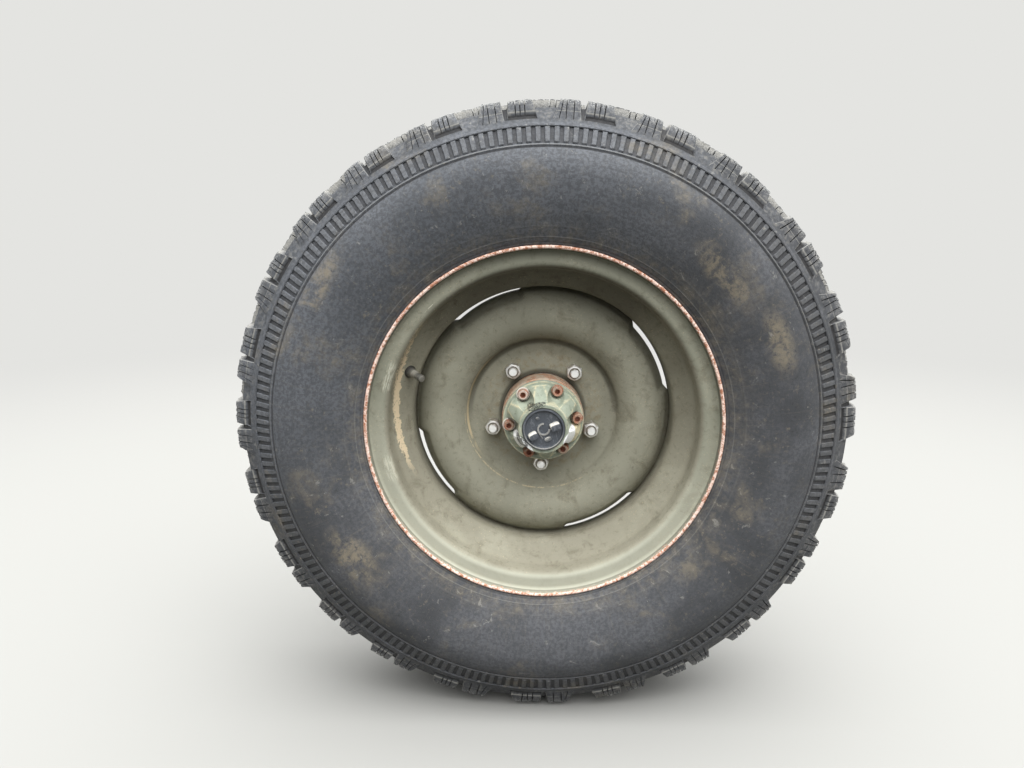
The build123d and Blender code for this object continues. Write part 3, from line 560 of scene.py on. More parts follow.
@dataclass(frozen=True)
class TyreRubber:
    """Weathered grey rubber with brown road dust, paler and rougher on the tread, with a painted sky sheen
    towards the upper left and painted highlights and shade on its relief.
    """

    name: str = "tyre_rubber"
    rubber: str = "5d5e61"
    deep: str = "434446"
    # Painted reflection of the sky, laid on towards the upper left
    painted_sky_sheen: str = "676b71"
    dust: str = "8f8470"
    # Scuffs and grit, and the painted highlight on edges, rib tops and ring crests
    sand_and_highlight: str = "aaa79f"
    speckle: str = "c4c3be"
    # Dark grit, and the painted shade in sipes, slots, hollows, rib gaps and ring grooves
    hollow: str = "2b2a2a"
    tread_from: float = 366.0
    tips_from: float = 384.0
    # Angle and radius of each patch of dust, its half length in degrees and its half width
    patches: tuple[tuple[float, ...], ...] = (
        (42.0, 285.0, 13.0, 24.0), (22.0, 300.0, 10.0, 22.0), (148.0, 322.0, 13.0, 18.0),
        (215.0, 292.0, 12.0, 30.0))

    def material(self) -> bpy.types.Material:
        """Nodes: mottle, rings and radial streaks, dust at placed spots, paler block tips, a painted sky
        sheen, and the mesh's marks: worn edges with painted highlights, and painted shade in the hollows.
        """
        f = Finish(self.name, self.rubber)
        r = f.radius()
        broad = f.noise(9.0, 4.0, 0.6, 0.4)
        fine = f.noise(260.0, 5.0, 0.7)
        scuff = f.noise(70.0, 6.0, 0.75, 0.6)
        rings = f.polar(2.5, 330.0, 4.0, 0.7)
        streaks = f.polar(110.0, 14.0, 4.0, 0.7)
        f.coat(f.ramp(broad, 0.35, 0.7), self.deep)
        # Painted sky reflection: paler and bluer towards the upper left
        f.coat(f.ramp(f.plus(f.axis("Z"), f.axis("X"), -0.7), 0.0, 0.34, 0.5), self.painted_sky_sheen)
        f.coat(f.ramp(rings, 0.45, 0.68, 0.22), self.deep)
        f.coat(f.ramp(streaks, 0.52, 0.75, 0.14), self.dust)
        grit = f.noise(150.0, 6.0, 0.75)
        f.coat(f.ramp(fine, 0.42, 0.58, 0.6), self.deep)
        f.coat(f.ramp(grit, 0.44, 0.3, 0.35), self.hollow)
        f.coat(f.times(f.ramp(grit, 0.56, 0.7), f.ramp(broad, 0.35, 0.6), 0.4), self.dust)
        bead = f.times(f.ramp(r, 262.0, 232.0), f.ramp(scuff, 0.4, 0.66), 0.3)
        clouds = f.times(f.ramp(f.noise(15.0, 6.0, 0.65, 0.3), 0.52, 0.72), f.ramp(scuff, 0.34, 0.56), 0.42)
        patch = f.most(*(f.around(*spot) for spot in self.patches))
        torn = f.times(f.ramp(f.noise(26.0, 6.0, 0.7, 0.6), 0.4, 0.56), f.ramp(grit, 0.3, 0.56))
        dusty = f.most(bead, clouds, f.times(patch, torn, 0.62))
        f.coat(dusty, self.dust)
        f.coat(f.ramp(scuff, 0.62, 0.66, 0.3), self.sand_and_highlight)
        tread = f.ramp(r, self.tread_from, self.tread_from + 6.0)
        tips = f.times(f.ramp(r, self.tips_from, self.tips_from + 12.0),
                       f.ramp(f.noise(560.0, 5.0, 0.85), 0.48, 0.58), 0.7)
        f.coat(f.times(tread, f.ramp(broad, 0.3, 0.6), 0.4), self.deep)
        f.coat(f.times(tread, f.ramp(grit, 0.48, 0.6), 0.18), self.sand_and_highlight)
        f.coat(f.times(tread, f.ramp(grit, 0.42, 0.32), 0.4), self.hollow)
        f.coat(tips, self.speckle)
        # Paler on marked edges from wear and painted highlight, darker in marked hollows as painted shade
        mark = f.mark()
        f.coat(f.ramp(mark, 0.0, 1.0, 0.75), self.sand_and_highlight)
        f.coat(f.ramp(mark, 0.0, -1.0, 0.85), self.hollow)
        rough = f.blend(f.ramp(dusty, 0.0, 0.6), 0.5, 0.78)
        grain = f.bump(fine, 0.45, f.bump(rings, 0.2))
        return f.done(rough, normal=f.bump(f.noise(30.0, 2.0), 0.6, grain), specular=0.16)


@dataclass(frozen=True)
class OlivePaint:
    """Matt olive paint of the wheel, dusty, rubbed bare in places and rusty at the lip, with painted light on
    the lower flange and painted shade at the top, in the crease and at the joints.
    """

    name: str = "olive_paint"
    paint: str = "8d8979"
    flange: str = "8b8b7b"
    disc: str = "8f8d7d"
    dirt: str = "5a5240"
    pale: str = "a9a694"
    cream: str = "d8c6a0"
    tan: str = "dac7a6"
    chalk: str = "c9c7b4"
    # Paler tone for the lower flange: painted light from above, with some settled dust
    dust: str = "bdbcab"
    rust: str = "b57a5e"
    bare: str = "f7decf"
    # Painted shade, for the top of the barrel, the upper crease, the ring round the hub, the seam with the
    # rim and the line inside the lip
    painted_shade: str = "3c382e"
    halo: str = "97825c"
    lip_r: float = 220.9
    flange_r: float = 201.0
    barrel_r: float = 186.0
    streak_r: float = 190.4
    streak_slope: float = 0.2
    scuff_turns: tuple[float, float] = (-18.0, 16.0)
    crease_r: float = 101.5
    halo_r: float = 70.0
    hub_r: float = 55.5
    seam: tuple[float, float] = (172.4, -84.5)
    # Stations in metres between which the outer side's own marks begin: stains, scratches, the streak, and
    # the painted light and shade
    front_from: tuple[float, float] = (-0.100, -0.108)

    def material(self) -> bpy.types.Material:
        """Nodes: a tone for flange, barrel and disc, stains, a rubbed streak, scratches and the bare lip,
        painted light on the lower flange, and painted shade at the top of the barrel, in the crease, round
        the hub, along the seam and inside the lip.
        """
        f = Finish(self.name, self.paint)
        r = f.radius()
        broad = f.noise(11.0, 4.0, 0.6, 0.3)
        fine = f.noise(420.0, 4.0, 0.7)
        speck = f.noise(150.0, 5.0, 0.75, 0.4)
        stain = f.noise(34.0, 6.0, 0.7, 0.5)
        f.coat(f.ramp(r, self.flange_r - 2.0, self.flange_r + 2.0), self.flange)
        f.coat(f.ramp(r, 172.0, 168.0), self.disc)
        f.coat(f.ramp(broad, 0.4, 0.7, 0.45), self.pale)
        f.coat(f.ramp(stain, 0.5, 0.72, 0.45), self.dirt)
        f.coat(f.ramp(speck, 0.52, 0.72, 0.4), self.dirt)
        front = f.ramp(f.axis("Y"), *self.front_from)
        turn = f.turn()
        upper = f.band(turn, -90.0, 60.0, 50.0)
        # Painted light on the lower flange, paler as if lit from above, with some dust
        f.coat(f.times(f.band(turn, 82.0, 30.0, 70.0), f.ramp(r, self.flange_r - 3.0, self.flange_r + 2.0),
                       front, 0.62), self.dust)
        # Painted shade on the barrel at the top, where the rim's well faces down
        f.coat(f.times(f.band(turn, -90.0, 30.0, 40.0), f.band(r, self.barrel_r, 13.0, 4.0), front, 0.5),
               self.painted_shade)
        ragged = f.frayed(f.plus(r, turn, self.streak_slope), speck, 13.0)
        width = f.blend(f.band(turn, -2.0, 10.0, 20.0), 0.6, 2.9)
        off = f.math("SUBTRACT", f.math("ABSOLUTE", f.math("SUBTRACT", ragged, self.streak_r)), width)
        streak = f.times(f.ramp(off, 0.7, 0.0), f.ramp(speck, 0.34, 0.44), f.band(turn, -9.0, 20.0, 16.0),
                         front)
        f.coat(f.times(streak, 0.92), self.tan)
        scratch = f.times(f.ramp(f.polar(9.0, 300.0, 5.0, 0.75), 0.66, 0.69), f.band(r, 209.0, 8.0, 3.0),
                          f.band(turn, -15.0, 30.0, 20.0), front)
        first, second = self.scuff_turns
        scuffed = f.times(f.most(f.band(turn, first, 3.5, 3.0), f.band(turn, second, 3.0, 3.0)),
                          f.band(r, self.flange_r + 3.0, 3.0, 4.0),
                          f.ramp(f.polar(12.0, 700.0, 5.0, 0.8), 0.46, 0.56), front)
        f.coat(f.most(f.times(scuffed, 0.75), scratch), self.chalk)
        station = f.math("MULTIPLY", f.axis("Y"), 1.0 / MM)
        face = f.ramp(station, -82.0, -84.0)
        pecked = f.times(f.ramp(f.noise(520.0, 3.0, 0.8), 0.62, 0.68), f.ramp(broad, 0.3, 0.6), 0.5)
        f.coat(pecked, self.cream)
        crease = f.times(f.band(r, self.crease_r, 0.7, 0.9), f.ramp(stain, 0.3, 0.42),
                         f.band(turn, -12.0, 22.0, 30.0), 0.85)
        faint = f.times(f.band(r, self.crease_r + 3.0, 0.3, 0.6), f.ramp(speck, 0.46, 0.54),
                        f.band(turn, 60.0, 50.0, 20.0), 0.5)
        f.coat(f.times(f.most(crease, faint), face), self.cream)
        seam_r, seam_y = self.seam
        # Painted shade along the seam where the disc meets the rim, and in the crease on the upper half
        seam_and_crease_shade = f.most(f.times(f.band(r, seam_r, 0.8, 0.6), f.band(station, seam_y, 0.6, 1.0), 0.5),
                       f.times(f.band(r, self.crease_r - 3.0, 1.5, 5.0), upper, 0.7))
        f.coat(f.times(seam_and_crease_shade, f.ramp(speck, 0.2, 0.4)), self.painted_shade)
        # Painted shade in a ring round the hub
        f.coat(f.times(f.band(r, self.hub_r, 1.0, 5.0), face, 0.7), self.painted_shade)
        f.coat(f.times(f.band(r, self.halo_r, 8.0, 8.0), f.ramp(speck, 0.48, 0.62), face, 0.25), self.halo)
        rubbed = f.frayed(r, speck, 2.4)
        # Painted shade in a thin line just inside the lip
        f.coat(f.times(f.band(r, self.lip_r, 0.3, 0.6), 0.5), self.painted_shade)
        worn = f.mix(f.ramp(f.noise(300.0, 4.0, 0.7), 0.42, 0.6), colour(self.bare), colour(self.rust))
        f.coat(f.ramp(rubbed, self.lip_r + 0.5, self.lip_r + 1.0), worn)
        rough = f.blend(f.ramp(speck, 0.4, 0.7), 0.62, 0.8)
        return f.done(rough, normal=f.bump(f.noise(90.0, 4.0, 0.6), 0.2, f.bump(fine, 0.06)), specular=0.12)


@dataclass(frozen=True)
class CastPaint:
    """Thick grey-green paint on the lock's casting, worn cream on its edges and to bare metal."""

    name: str = "green_paint"
    paint: str = "8b9382"
    pale: str = "a3aa98"
    dirt: str = "4f4b3c"
    cream: str = "d2c8a6"
    bare: str = "f6f6f3"
    # Dark scratches, and the painted shade at the casting's inner edge by the dial
    scratch: str = "2b2a26"
    # Angle and radius of each patch, its half length in degrees and its half width
    rubbed_at: tuple[float, ...] = (-16.0, 42.5, 24.0, 9.0)
    bare_at: tuple[tuple[float, ...], ...] = ((222.0, 34.0, 34.0, 10.0), (-24.0, 36.0, 24.0, 8.5))
    gouged_at: tuple[tuple[float, ...], ...] = ((213.0, 32.0, 22.0, 8.0), (108.0, 29.5, 30.0, 4.0))

    def material(self) -> bpy.types.Material:
        """Nodes: worn creases from the mesh's marks, bare patches at two places, scratches, and painted shade
        at the inner edge by the dial.
        """
        f = Finish(self.name, self.paint)
        broad = f.noise(45.0, 4.0, 0.6, 0.4)
        fine = f.noise(700.0, 4.0, 0.7)
        stain = f.noise(120.0, 5.0, 0.8, 1.0)
        thin = f.noise(230.0, 5.0, 0.8, 2.5, (1.0, 0.3, 1.0))
        f.coat(f.ramp(broad, 0.35, 0.65), self.pale)
        f.coat(f.ramp(stain, 0.55, 0.7, 0.55), self.dirt)
        worn = f.times(f.mark(), f.ramp(stain, 0.42, 0.5), f.ramp(broad, 0.3, 0.5), 0.9)
        f.coat(worn, self.cream)
        rubbed = f.times(f.ramp(f.around(*self.rubbed_at), 0.1, 0.3), f.ramp(stain, 0.36, 0.44))
        f.coat(rubbed, self.cream)
        spots = f.most(*(f.around(*spot) for spot in self.bare_at))
        bare = f.times(f.ramp(spots, 0.08, 0.24), f.ramp(stain, 0.33, 0.39))
        f.coat(bare, self.bare)
        gouged = f.most(*(f.around(*spot) for spot in self.gouged_at))
        scored = f.most(f.times(f.ramp(thin, 0.6, 0.64), f.math("ADD", bare, 0.2)),
                        f.times(f.ramp(gouged, 0.1, 0.4), f.ramp(thin, 0.44, 0.5)))
        f.coat(f.times(scored, 0.9), self.scratch)
        # Painted shade: the inner edge by the dial's seat, marked below 0, is darkened
        f.coat(f.ramp(f.mark(), 0.0, -1.0, 0.9), self.scratch)
        rough = f.blend(bare, 0.58, 0.38)
        return f.done(rough, normal=f.bump(f.noise(260.0, 4.0, 0.6), 0.3, f.bump(fine, 0.08)))


@dataclass(frozen=True)
class RustySteel:
    """Bare or thinly painted steel under brown and orange rust."""

    name: str
    metal: str = "6b625a"
    brown: str = "5d4334"
    orange: str = "a06a45"
    cover: float = 0.5
    scale: float = 60.0
    shine: float = 0.55
    grain: float = 0.25
    worn: str = "c9c0b4"
    hollow: str = "1d1a17"
    # Station in millimetres from which the metal darkens inboard as painted shade; far off unless given
    painted_shade_y: float = 1000.0

    def material(self) -> bpy.types.Material:
        """Nodes: two rust colours by noise over the metal; cover shifts how much stays bare. Inboard of a
        given station the metal is darkened as painted shade.
        """
        f = Finish(self.name, self.metal)
        broad = f.noise(self.scale, 5.0, 0.65, 0.6)
        fine = f.noise(self.scale * 7, 5.0, 0.75)
        rusty = f.ramp(broad, 0.72 - 0.4 * self.cover, 0.86 - 0.4 * self.cover)
        rust = f.mix(f.ramp(fine, 0.35, 0.65), colour(self.brown), colour(self.orange))
        f.coat(rusty, rust)
        f.wear_and_light(self.worn, self.hollow, 1.0)
        # Painted shade: darker inboard of the station, where the hub's barrel meets the disc
        deep = f.ramp(f.axis("Y"), self.painted_shade_y * MM - 0.007, self.painted_shade_y * MM + 0.001, 0.85)
        f.coat(deep, self.hollow)
        rough = f.blend(rusty, 0.42, 0.82)
        metal = f.blend(rusty, self.shine, 0.0)
        return f.done(rough, metal, f.bump(fine, self.grain, f.bump(broad, self.grain)))


@dataclass(frozen=True)
class Zinc:
    """Dull zinc plating with white bloom and a little dirt, with painted highlights and painted shade from
    the mesh's marks.
    """

    name: str = "zinc"
    metal: str = "aea69a"
    bloom: str = "cfc9bf"
    dirt: str = "68543c"
    # Painted highlight on the nuts' corners and fronts and on the studs' tips
    painted_highlight: str = "f4f4f2"
    # Painted shade at the nuts' feet and holes and in the studs' thread roots
    hollow: str = "2c2823"

    def material(self) -> bpy.types.Material:
        """Nodes: bloom and dirt by noise, rougher where the bloom is, then the painted highlights and painted
        shade of the marks.
        """
        f = Finish(self.name, self.metal)
        broad = f.noise(160.0, 4.0, 0.65, 0.5)
        fine = f.noise(900.0, 4.0, 0.7)
        f.coat(f.ramp(broad, 0.4, 0.62), self.bloom)
        f.coat(f.ramp(f.noise(240.0, 5.0, 0.8), 0.54, 0.66, 0.75), self.dirt)
        # Painted highlights on marked edges, painted shade in marked recesses
        f.wear_and_light(self.painted_highlight, self.hollow, 0.92)
        rough = f.blend(f.ramp(broad, 0.4, 0.62), 0.28, 0.5)
        return f.done(rough, f.blend(f.ramp(broad, 0.4, 0.62), 0.8, 0.35), f.bump(fine, 0.1))


@dataclass(frozen=True)
class Moulded:
    """Dark moulded plastic or soft rubber with scuffs that are paler than the rest, and painted highlights
    and painted shade from the mesh's marks.
    """

    name: str
    base: str = "3a3d44"
    scuffs: str = "74777c"
    worn: str = "8d8c88"
    hollow: str = "131416"
    scale: float = 180.0
    amount: float = 0.4
    rough: float = 0.5

    def material(self) -> bpy.types.Material:
        """Nodes: scuffs by stretched noise, paler marked edges from wear and painted highlight, darker marked
        hollows as painted shade, and a fine grain.
        """
        f = Finish(self.name, self.base)
        fine = f.noise(self.scale * 6, 4.0, 0.7)
        scuff = f.noise(self.scale, 5.0, 0.75, 1.5, (1.0, 1.0, 0.45))
        f.coat(f.ramp(scuff, 0.5, 0.72, self.amount), self.scuffs)
        mark = f.mark()
        # Marked edges: wear, and painted highlights on the dial and the valve's cap; marked hollows: painted
        # shade
        f.coat(f.times(f.ramp(mark, 0.0, 1.0), f.ramp(fine, 0.3, 0.5)), self.worn)
        f.coat(f.ramp(mark, 0.0, -1.0, 0.9), self.hollow)
        rough = f.blend(f.ramp(scuff, 0.5, 0.72), self.rough, min(self.rough + 0.2, 0.9))
        return f.done(rough, normal=f.bump(fine, 0.06))


@dataclass(frozen=True)
class DustyPaint:
    """Plain chassis paint under road dust, with chips down to rust."""

    name: str = "plate_paint"
    paint: str = "26261f"
    dust: str = "6f6553"
    chips: str = "6b432c"

    def material(self) -> bpy.types.Material:
        """Nodes: dust by broad noise, chips by sharp noise, both over the paint."""
        f = Finish(self.name, self.paint)
        broad = f.noise(22.0, 5.0, 0.65, 0.4)
        speck = f.noise(140.0, 6.0, 0.8, 0.5)
        f.coat(f.ramp(broad, 0.4, 0.7, 0.75), self.dust)
        f.coat(f.ramp(speck, 0.6, 0.68, 0.8), self.chips)
        rough = f.blend(f.ramp(broad, 0.4, 0.7), 0.5, 0.85)
        return f.done(rough, normal=f.bump(speck, 0.3))


@dataclass(frozen=True)
class GroundSteel:
    """Machined steel with a film of old grease."""

    name: str = "bearing_steel"
    metal: str = "77746d"
    grease: str = "3a3026"

    def material(self) -> bpy.types.Material:
        """Nodes: turning marks as noise stretched round the axle, and grease by broad noise."""
        f = Finish(self.name, self.metal)
        turned = f.noise(40.0, 3.0, 0.6, 0.0, (0.4, 12.0, 0.4))
        broad = f.noise(50.0, 4.0, 0.6, 0.5)
        f.coat(f.ramp(broad, 0.42, 0.62, 0.85), self.grease)
        rough = f.blend(f.ramp(broad, 0.42, 0.62), 0.32, 0.5)
        return f.done(rough, 0.85, f.bump(turned, 0.08))


def dress(piece: bpy.types.Object, material: bpy.types.Material, slot: str, body: Body,
          *nodes: str) -> bpy.types.Object:
    """Gives a new piece its material and its body, and hides the CAD nodes that it stands for.

    Args:
        piece: the new object.
        material: its finish.
        slot: name of the material slot; not used.
        body: what it moves with.
        nodes: CAD nodes that it replaces.

    Returns:
        The same object.
    """
    piece.data.materials.append(material)
    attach(piece, body.value)
    if nodes:
        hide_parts(*nodes)
    return piece


def repaint(material: bpy.types.Material, *nodes: str) -> None:
    """Gives CAD nodes that still show a better material."""
    for node in nodes:
        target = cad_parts[node]
        target.data.materials.clear()
        target.data.materials.append(material)


# Tyre


@dataclass
class Tyre:
    """All-terrain tyre: carcass, a ribbed band on each side and two halves of the tread.

    Distances d are counted along the axle from the tyre's middle plane, so the outer half has the
    stations centre_y - d. The inboard half is the outer one turned half a turn about X.
    """

    centre_y: float = CENTRE_Y
    tread_r: float = 400.5
    limit_r: float = 400.9
    roughness: float = 0.45
    # Shifts along the axle of the lugs' inner ends, and of the middle rows of bars and of centre blocks
    end_shift: float = 3.5
    bar_shift: float = -2.0
    cleat_shift: float = 4.0
    tread_half: float = 62.0
    tread_drop: float = 7.0
    groove_r: float = 385.5
    foot: tuple[float, float] = (366.6, 76.3)
    edge: tuple[float, float] = (394.0, 62.0)
    sill: tuple[float, float] = (385.2, 61.0)
    band_top: tuple[float, float] = (361.0, 78.8)
    band_foot: tuple[float, float] = (341.0, 90.6)
    bulge_r: float = 303.0
    side_half: float = 105.0
    lip: tuple[float, float] = (226.3, 82.35)
    ribs: int = 202
    rib_height: float = 1.5
    pitches: tuple[float, ...] = (16.3, 15.3, 16.7, 15.9, 14.7, 13.9, 13.6, 13.3, 13.3, 14.0, 15.7, 13.4,
                                  14.1, 16.4, 14.1, 13.2, 14.8, 17.4, 16.3, 13.8, 15.5, 16.3, 14.4, 17.6)
    first_pitch: float = 4.5
    rings: tuple[tuple[float, float, float], ...] = (
        (229.5, -0.4, 0.9), (235.5, 0.3, 0.7), (248.0, 0.15, 1.2), (337.6, -0.8, 1.1), (340.4, 1.5, 1.2))
    finish: TyreRubber = TyreRubber()

    def side(self, radius: Array) -> Array:
        """Distance of the sidewall from the middle plane.

        Formula: two circles that are tangent at the widest point, d = half - rho + sqrt(rho^2 -
        (r - bulge)^2), each with rho so that it meets the lip or the ribbed band, plus a small
        bell, height times e^-((r - ring)/width)^2, for each moulded ring.
        """
        def rho(end: tuple[float, float]) -> float:
            """Radius of the circle from the widest point to an end: (run^2 + drop^2) / (2 drop)."""
            drop = self.side_half - end[1]
            return ((end[0] - self.bulge_r) ** 2 + drop ** 2) / (2 * drop)

        big = np.where(radius < self.bulge_r, rho(self.lip), rho(self.band_foot))
        d = self.side_half - big + np.sqrt(big ** 2 - (radius - self.bulge_r) ** 2)
        for ring_r, height, width in self.rings:
            d = d + height * np.exp(-((radius - ring_r) / width) ** 2)
        return d

    def carcass(self) -> bpy.types.Object:
        """Sidewalls, beads and air side as one turned outline, sunk under the bands and the tread."""
        near = np.concatenate([np.linspace(-2.2, 2.2, 11) * w + r for r, _, w in self.rings])
        radius = np.unique(np.round(np.concatenate([np.linspace(self.lip[0], 342.0, 60), near]), 2))
        radius = radius[(radius >= self.lip[0]) & (radius <= 343.0)]
        wall = np.stack([radius, self.side(radius)], axis=1)[::-1]
        crown = np.array([(381.0, 0.0), (381.0, 40.0), (377.0, 56.0), (362.0, 75.5), (357.0, 79.0)])
        under = np.array([(225.2, 80.6), (221.0, 75.2), (215.0, 70.4), (206.0, 69.5), (203.3, 68.0),
                          (203.0, 64.0), (201.2, 44.0), (203.0, 43.4), (219.0, 43.5), (249.0, 69.5),
                          (303.0, 94.0), (345.0, 82.0), (364.0, 62.0), (376.0, 48.0), (377.5, 0.0)])
        half = np.vstack([crown, wall, under])
        outer = np.stack([half[:, 0], self.centre_y - half[:, 1]], axis=1)
        inner = np.stack([half[::-1, 0], self.centre_y + half[::-1, 1]], axis=1)
        outline = np.vstack([outer, inner[1:-1]])
        shown = np.abs(outline[:, 1] - self.centre_y) > 79.5
        # Painted highlight on the crests of the raised rings and painted shade in the sunk ones, on the outer
        # faces only
        tone = np.zeros(len(outline))
        for ring_r, height, width in self.rings:
            tone += np.clip(height, -0.8, 0.3) * np.exp(-((outline[:, 0] - ring_r) / width) ** 2)
        grid = lathe(outline, circle(288))
        return Skin().ring(grid, np.broadcast_to(tone * shown, grid.shape[:2])).build("tyre_carcass", 50.0)

    def turned(self, grid: Array, half: int) -> Array:
        """The grid as it is for the outer half, or turned half a turn about X for the inboard one."""
        if half == 0:
            return grid
        flip = grid * np.array([1.0, -1.0, -1.0])
        return flip + np.array([0.0, 2 * self.centre_y, 0.0])

    def band(self, half: int) -> bpy.types.Object:
        """Ribbed band between two moulded rings.

        Formula: a straight slope from the band's foot to its top, raised along its normal by the
        rib's height where the column is on a rib and the row isn't at either end.
        """
        t = np.array([0.00, 0.04, 0.08, 0.13, 0.56, 0.61, 0.65, 0.82])
        up = np.array([0.0, 0.0, 0.75, 1.0, 1.0, 0.75, 0.0, 0.0])
        angle = ((np.arange(self.ribs)[:, None] + t) * (2 * math.pi / self.ribs)).reshape(-1)
        lift = np.tile(up, self.ribs)[:, None]
        along = np.array([0.05, 0.08, 0.12, 0.5, 0.9, 0.96, 1.0])
        keep = np.array([0.0, 0.5, 1.0, 1.0, 1.0, 1.0, 0.8])
        foot, top = np.array(self.band_foot), np.array(self.band_top)
        normal = np.array([top[1] - foot[1], -(top[0] - foot[0])]) * np.array([-1.0, -1.0])
        normal = np.abs(normal / np.linalg.norm(normal))
        line = foot + (top - foot) * along[:, None]
        rise = (0.15 + self.rib_height * lift * keep)[..., None]
        shown = line[None] + normal * rise
        under = np.array([(362.5, 77.0), (358.0, 76.5), (342.0, 86.0), (341.4, 89.6)])
        hidden = np.broadcast_to(under[None], (len(angle), len(under), 2))
        rows = np.concatenate([shown, hidden], axis=1)
        grid = spun(rows[..., 0], self.centre_y - rows[..., 1], angle[:, None])
        # Painted highlight on the ribs' tops and painted shade in the gaps between them
        tone = 0.15 * lift * keep - 0.62 * (1 - lift) * (keep > 0.4)
        worn = np.concatenate([tone, np.zeros((len(angle), len(under)))], axis=1)
        name = "tyre_ribs_outer" if half == 0 else "tyre_ribs_inboard"
        return Skin().ring(self.turned(grid, half), worn).build(name, 30.0)

    def columns(self) -> tuple[Array, Array]:
        """Columns of one pitch, as shares of it from the middle of a slot.

        Returns:
            The kinds, [n], and the shares at the shoulder's foot, at the tread's edge and in the
            middle of the crown, [n, 3].
        """
        slot, gap = Kind.SLOT, Kind.GAP
        bar, bar_edge, sipe = Kind.BAR, Kind.BAR_EDGE, Kind.SIPE
        cleat, cleat_edge, cut = Kind.CLEAT, Kind.CLEAT_EDGE, Kind.CLEAT_SIPE
        table = [
            (slot, .000, .000, .000), (slot, .008, .026, .055), (bar_edge, .016, .044, .070),
            (bar, .021, .050, .076), (bar, .070, .085, .130), (bar, .112, .112, .196),
            (sipe, .114, .115, .200), (sipe, .121, .122, .209),
            (bar, .124, .125, .213), (bar, .170, .165, .270), (bar, .212, .205, .336),
            (sipe, .215, .208, .340), (sipe, .222, .215, .349),
            (bar, .225, .218, .353), (bar, .312, .250, .412),
            (sipe, .315, .253, .415), (sipe, .322, .259, .423),
            (bar, .325, .262, .427), (bar, .402, .286, .482), (bar_edge, .408, .292, .488),
            (gap, .418, .312, .504), (gap, .455, .390, .530), (gap, .490, .470, .556),
            (gap, .525, .555, .590), (gap, .557, .630, .618), (cleat_edge, .566, .646, .634),
            (cleat, .572, .652, .640), (cleat, .640, .690, .672), (cleat, .735, .735, .702),
            (cut, .738, .738, .706), (cut, .746, .746, .715),
            (cleat, .749, .749, .719), (cleat, .775, .772, .750), (cleat, .797, .795, .778),
            (cut, .800, .798, .782), (cut, .808, .806, .791),
            (cleat, .811, .809, .795), (cleat, .835, .832, .825), (cleat, .858, .855, .852),
            (cut, .861, .858, .856), (cut, .869, .866, .865),
            (cleat, .872, .869, .869), (cleat, .920, .905, .900), (cleat, .974, .944, .924),
            (cleat_edge, .979, .950, .930), (slot, .992, .974, .945),
        ]
        kinds = np.array([row[0].value for row in table])
        return kinds, np.array([row[1:] for row in table])

    def rows(self) -> tuple[Array, Array, Array, Array, Array]:
        """Rows of the outer half, from under the foot, over the blocks, to the middle and back below.

        Returns:
            Zone numbers, height caps (0 floor, 1 block top), top outline, floor outline, and the
            weights of the three column places, [n, 3].
        """
        foot, edge, sill = np.array(self.foot), np.array(self.edge), np.array(self.sill)
        share = np.array([.02, .08, .155, .185, .34, .47, .500, .520, .545, .70, .85, .94, .985])
        zone = np.select([share < .17, share < .51], [Zone.FOOT.value, Zone.LOWER.value], Zone.UPPER.value)
        side_top = foot + (edge - foot) * share[:, None]
        side_floor = foot + (sill - foot) * share[:, None]
        side_cap = np.ones(len(share))
        side_cap[7] = 0.9
        d = np.array([61.0, 58.0, 52.0, 45.0, 37.4, 36.8, 34.6, 31.8, 29.2, 27.6, 27.0, 20.0, 12.0, 6.4, 5.8,
                      3.8, 0.0])
        cap = np.array([.96, 1, 1, 1, 1, .9, 0, 0, 0, .9, 1, 1, 1, 1, .9, 0, 0])
        crown_r = self.tread_r - self.tread_drop * (d / self.tread_half) ** 2
        floor_r = self.groove_r - 1.2 * (d / self.tread_half) ** 2
        crown_top = np.stack([crown_r, d], axis=1)
        crown_floor = np.stack([floor_r, np.minimum(d, 60.0 - 0.08 * (62.0 - d))], axis=1)
        crown_zone = np.where(d > 33.0, Zone.CROWN.value, Zone.CENTRE.value)
        lower = np.array([(379.5, 0.0), (379.5, 40.0), (376.5, 55.0), (364.0, 72.0), (360.6, 76.0),
                          (361.0, 79.0), (361.6, 80.1), (362.8, 80.5), (364.6, 79.4), (365.7, 77.6)])
        # The closed outline starts at the foot and comes back under the tread to the shelf below it.
        top = np.vstack([side_top, crown_top, lower])
        floor = np.vstack([side_floor, crown_floor, lower])
        zones = np.concatenate([zone, crown_zone, np.full(len(lower), Zone.FOOT.value)])
        caps = np.concatenate([side_cap, cap, np.ones(len(lower))])
        middle = np.concatenate([np.zeros(len(share)), smoothstep(36.0, 28.5, d), [1.0], np.linspace(1, 0, 3),
                                 np.zeros(6)])
        at_edge = np.concatenate([share ** 0.9, 1 - smoothstep(36.0, 28.5, d), [0.0], np.linspace(0, 0.5, 3),
                                  np.zeros(6)])
        weights = np.stack([1 - middle - at_edge, at_edge, middle], axis=1)
        return zones, caps, top, floor, weights

    def heights(self) -> Array:
        """Height of each kind of column in each zone, from 0 on the floor to 1 on the block's top."""
        table = {
            Kind.GAP: (1, 0, 0, 0, 1),
            Kind.SLOT: (1, .1, .05, .1, 0),
            Kind.BAR: (1, 1, 1, 1, 1),
            Kind.BAR_EDGE: (1, .88, .88, .9, .9),
            Kind.SIPE: (1, .3, .3, .5, .5),
            Kind.CLEAT: (1, -.25, 1, 1, 1),
            Kind.CLEAT_EDGE: (1, .7, .88, .9, .9),
            Kind.CLEAT_SIPE: (1, -.25, .2, .5, .5),
        }
        return np.array([table[kind] for kind in Kind], float)

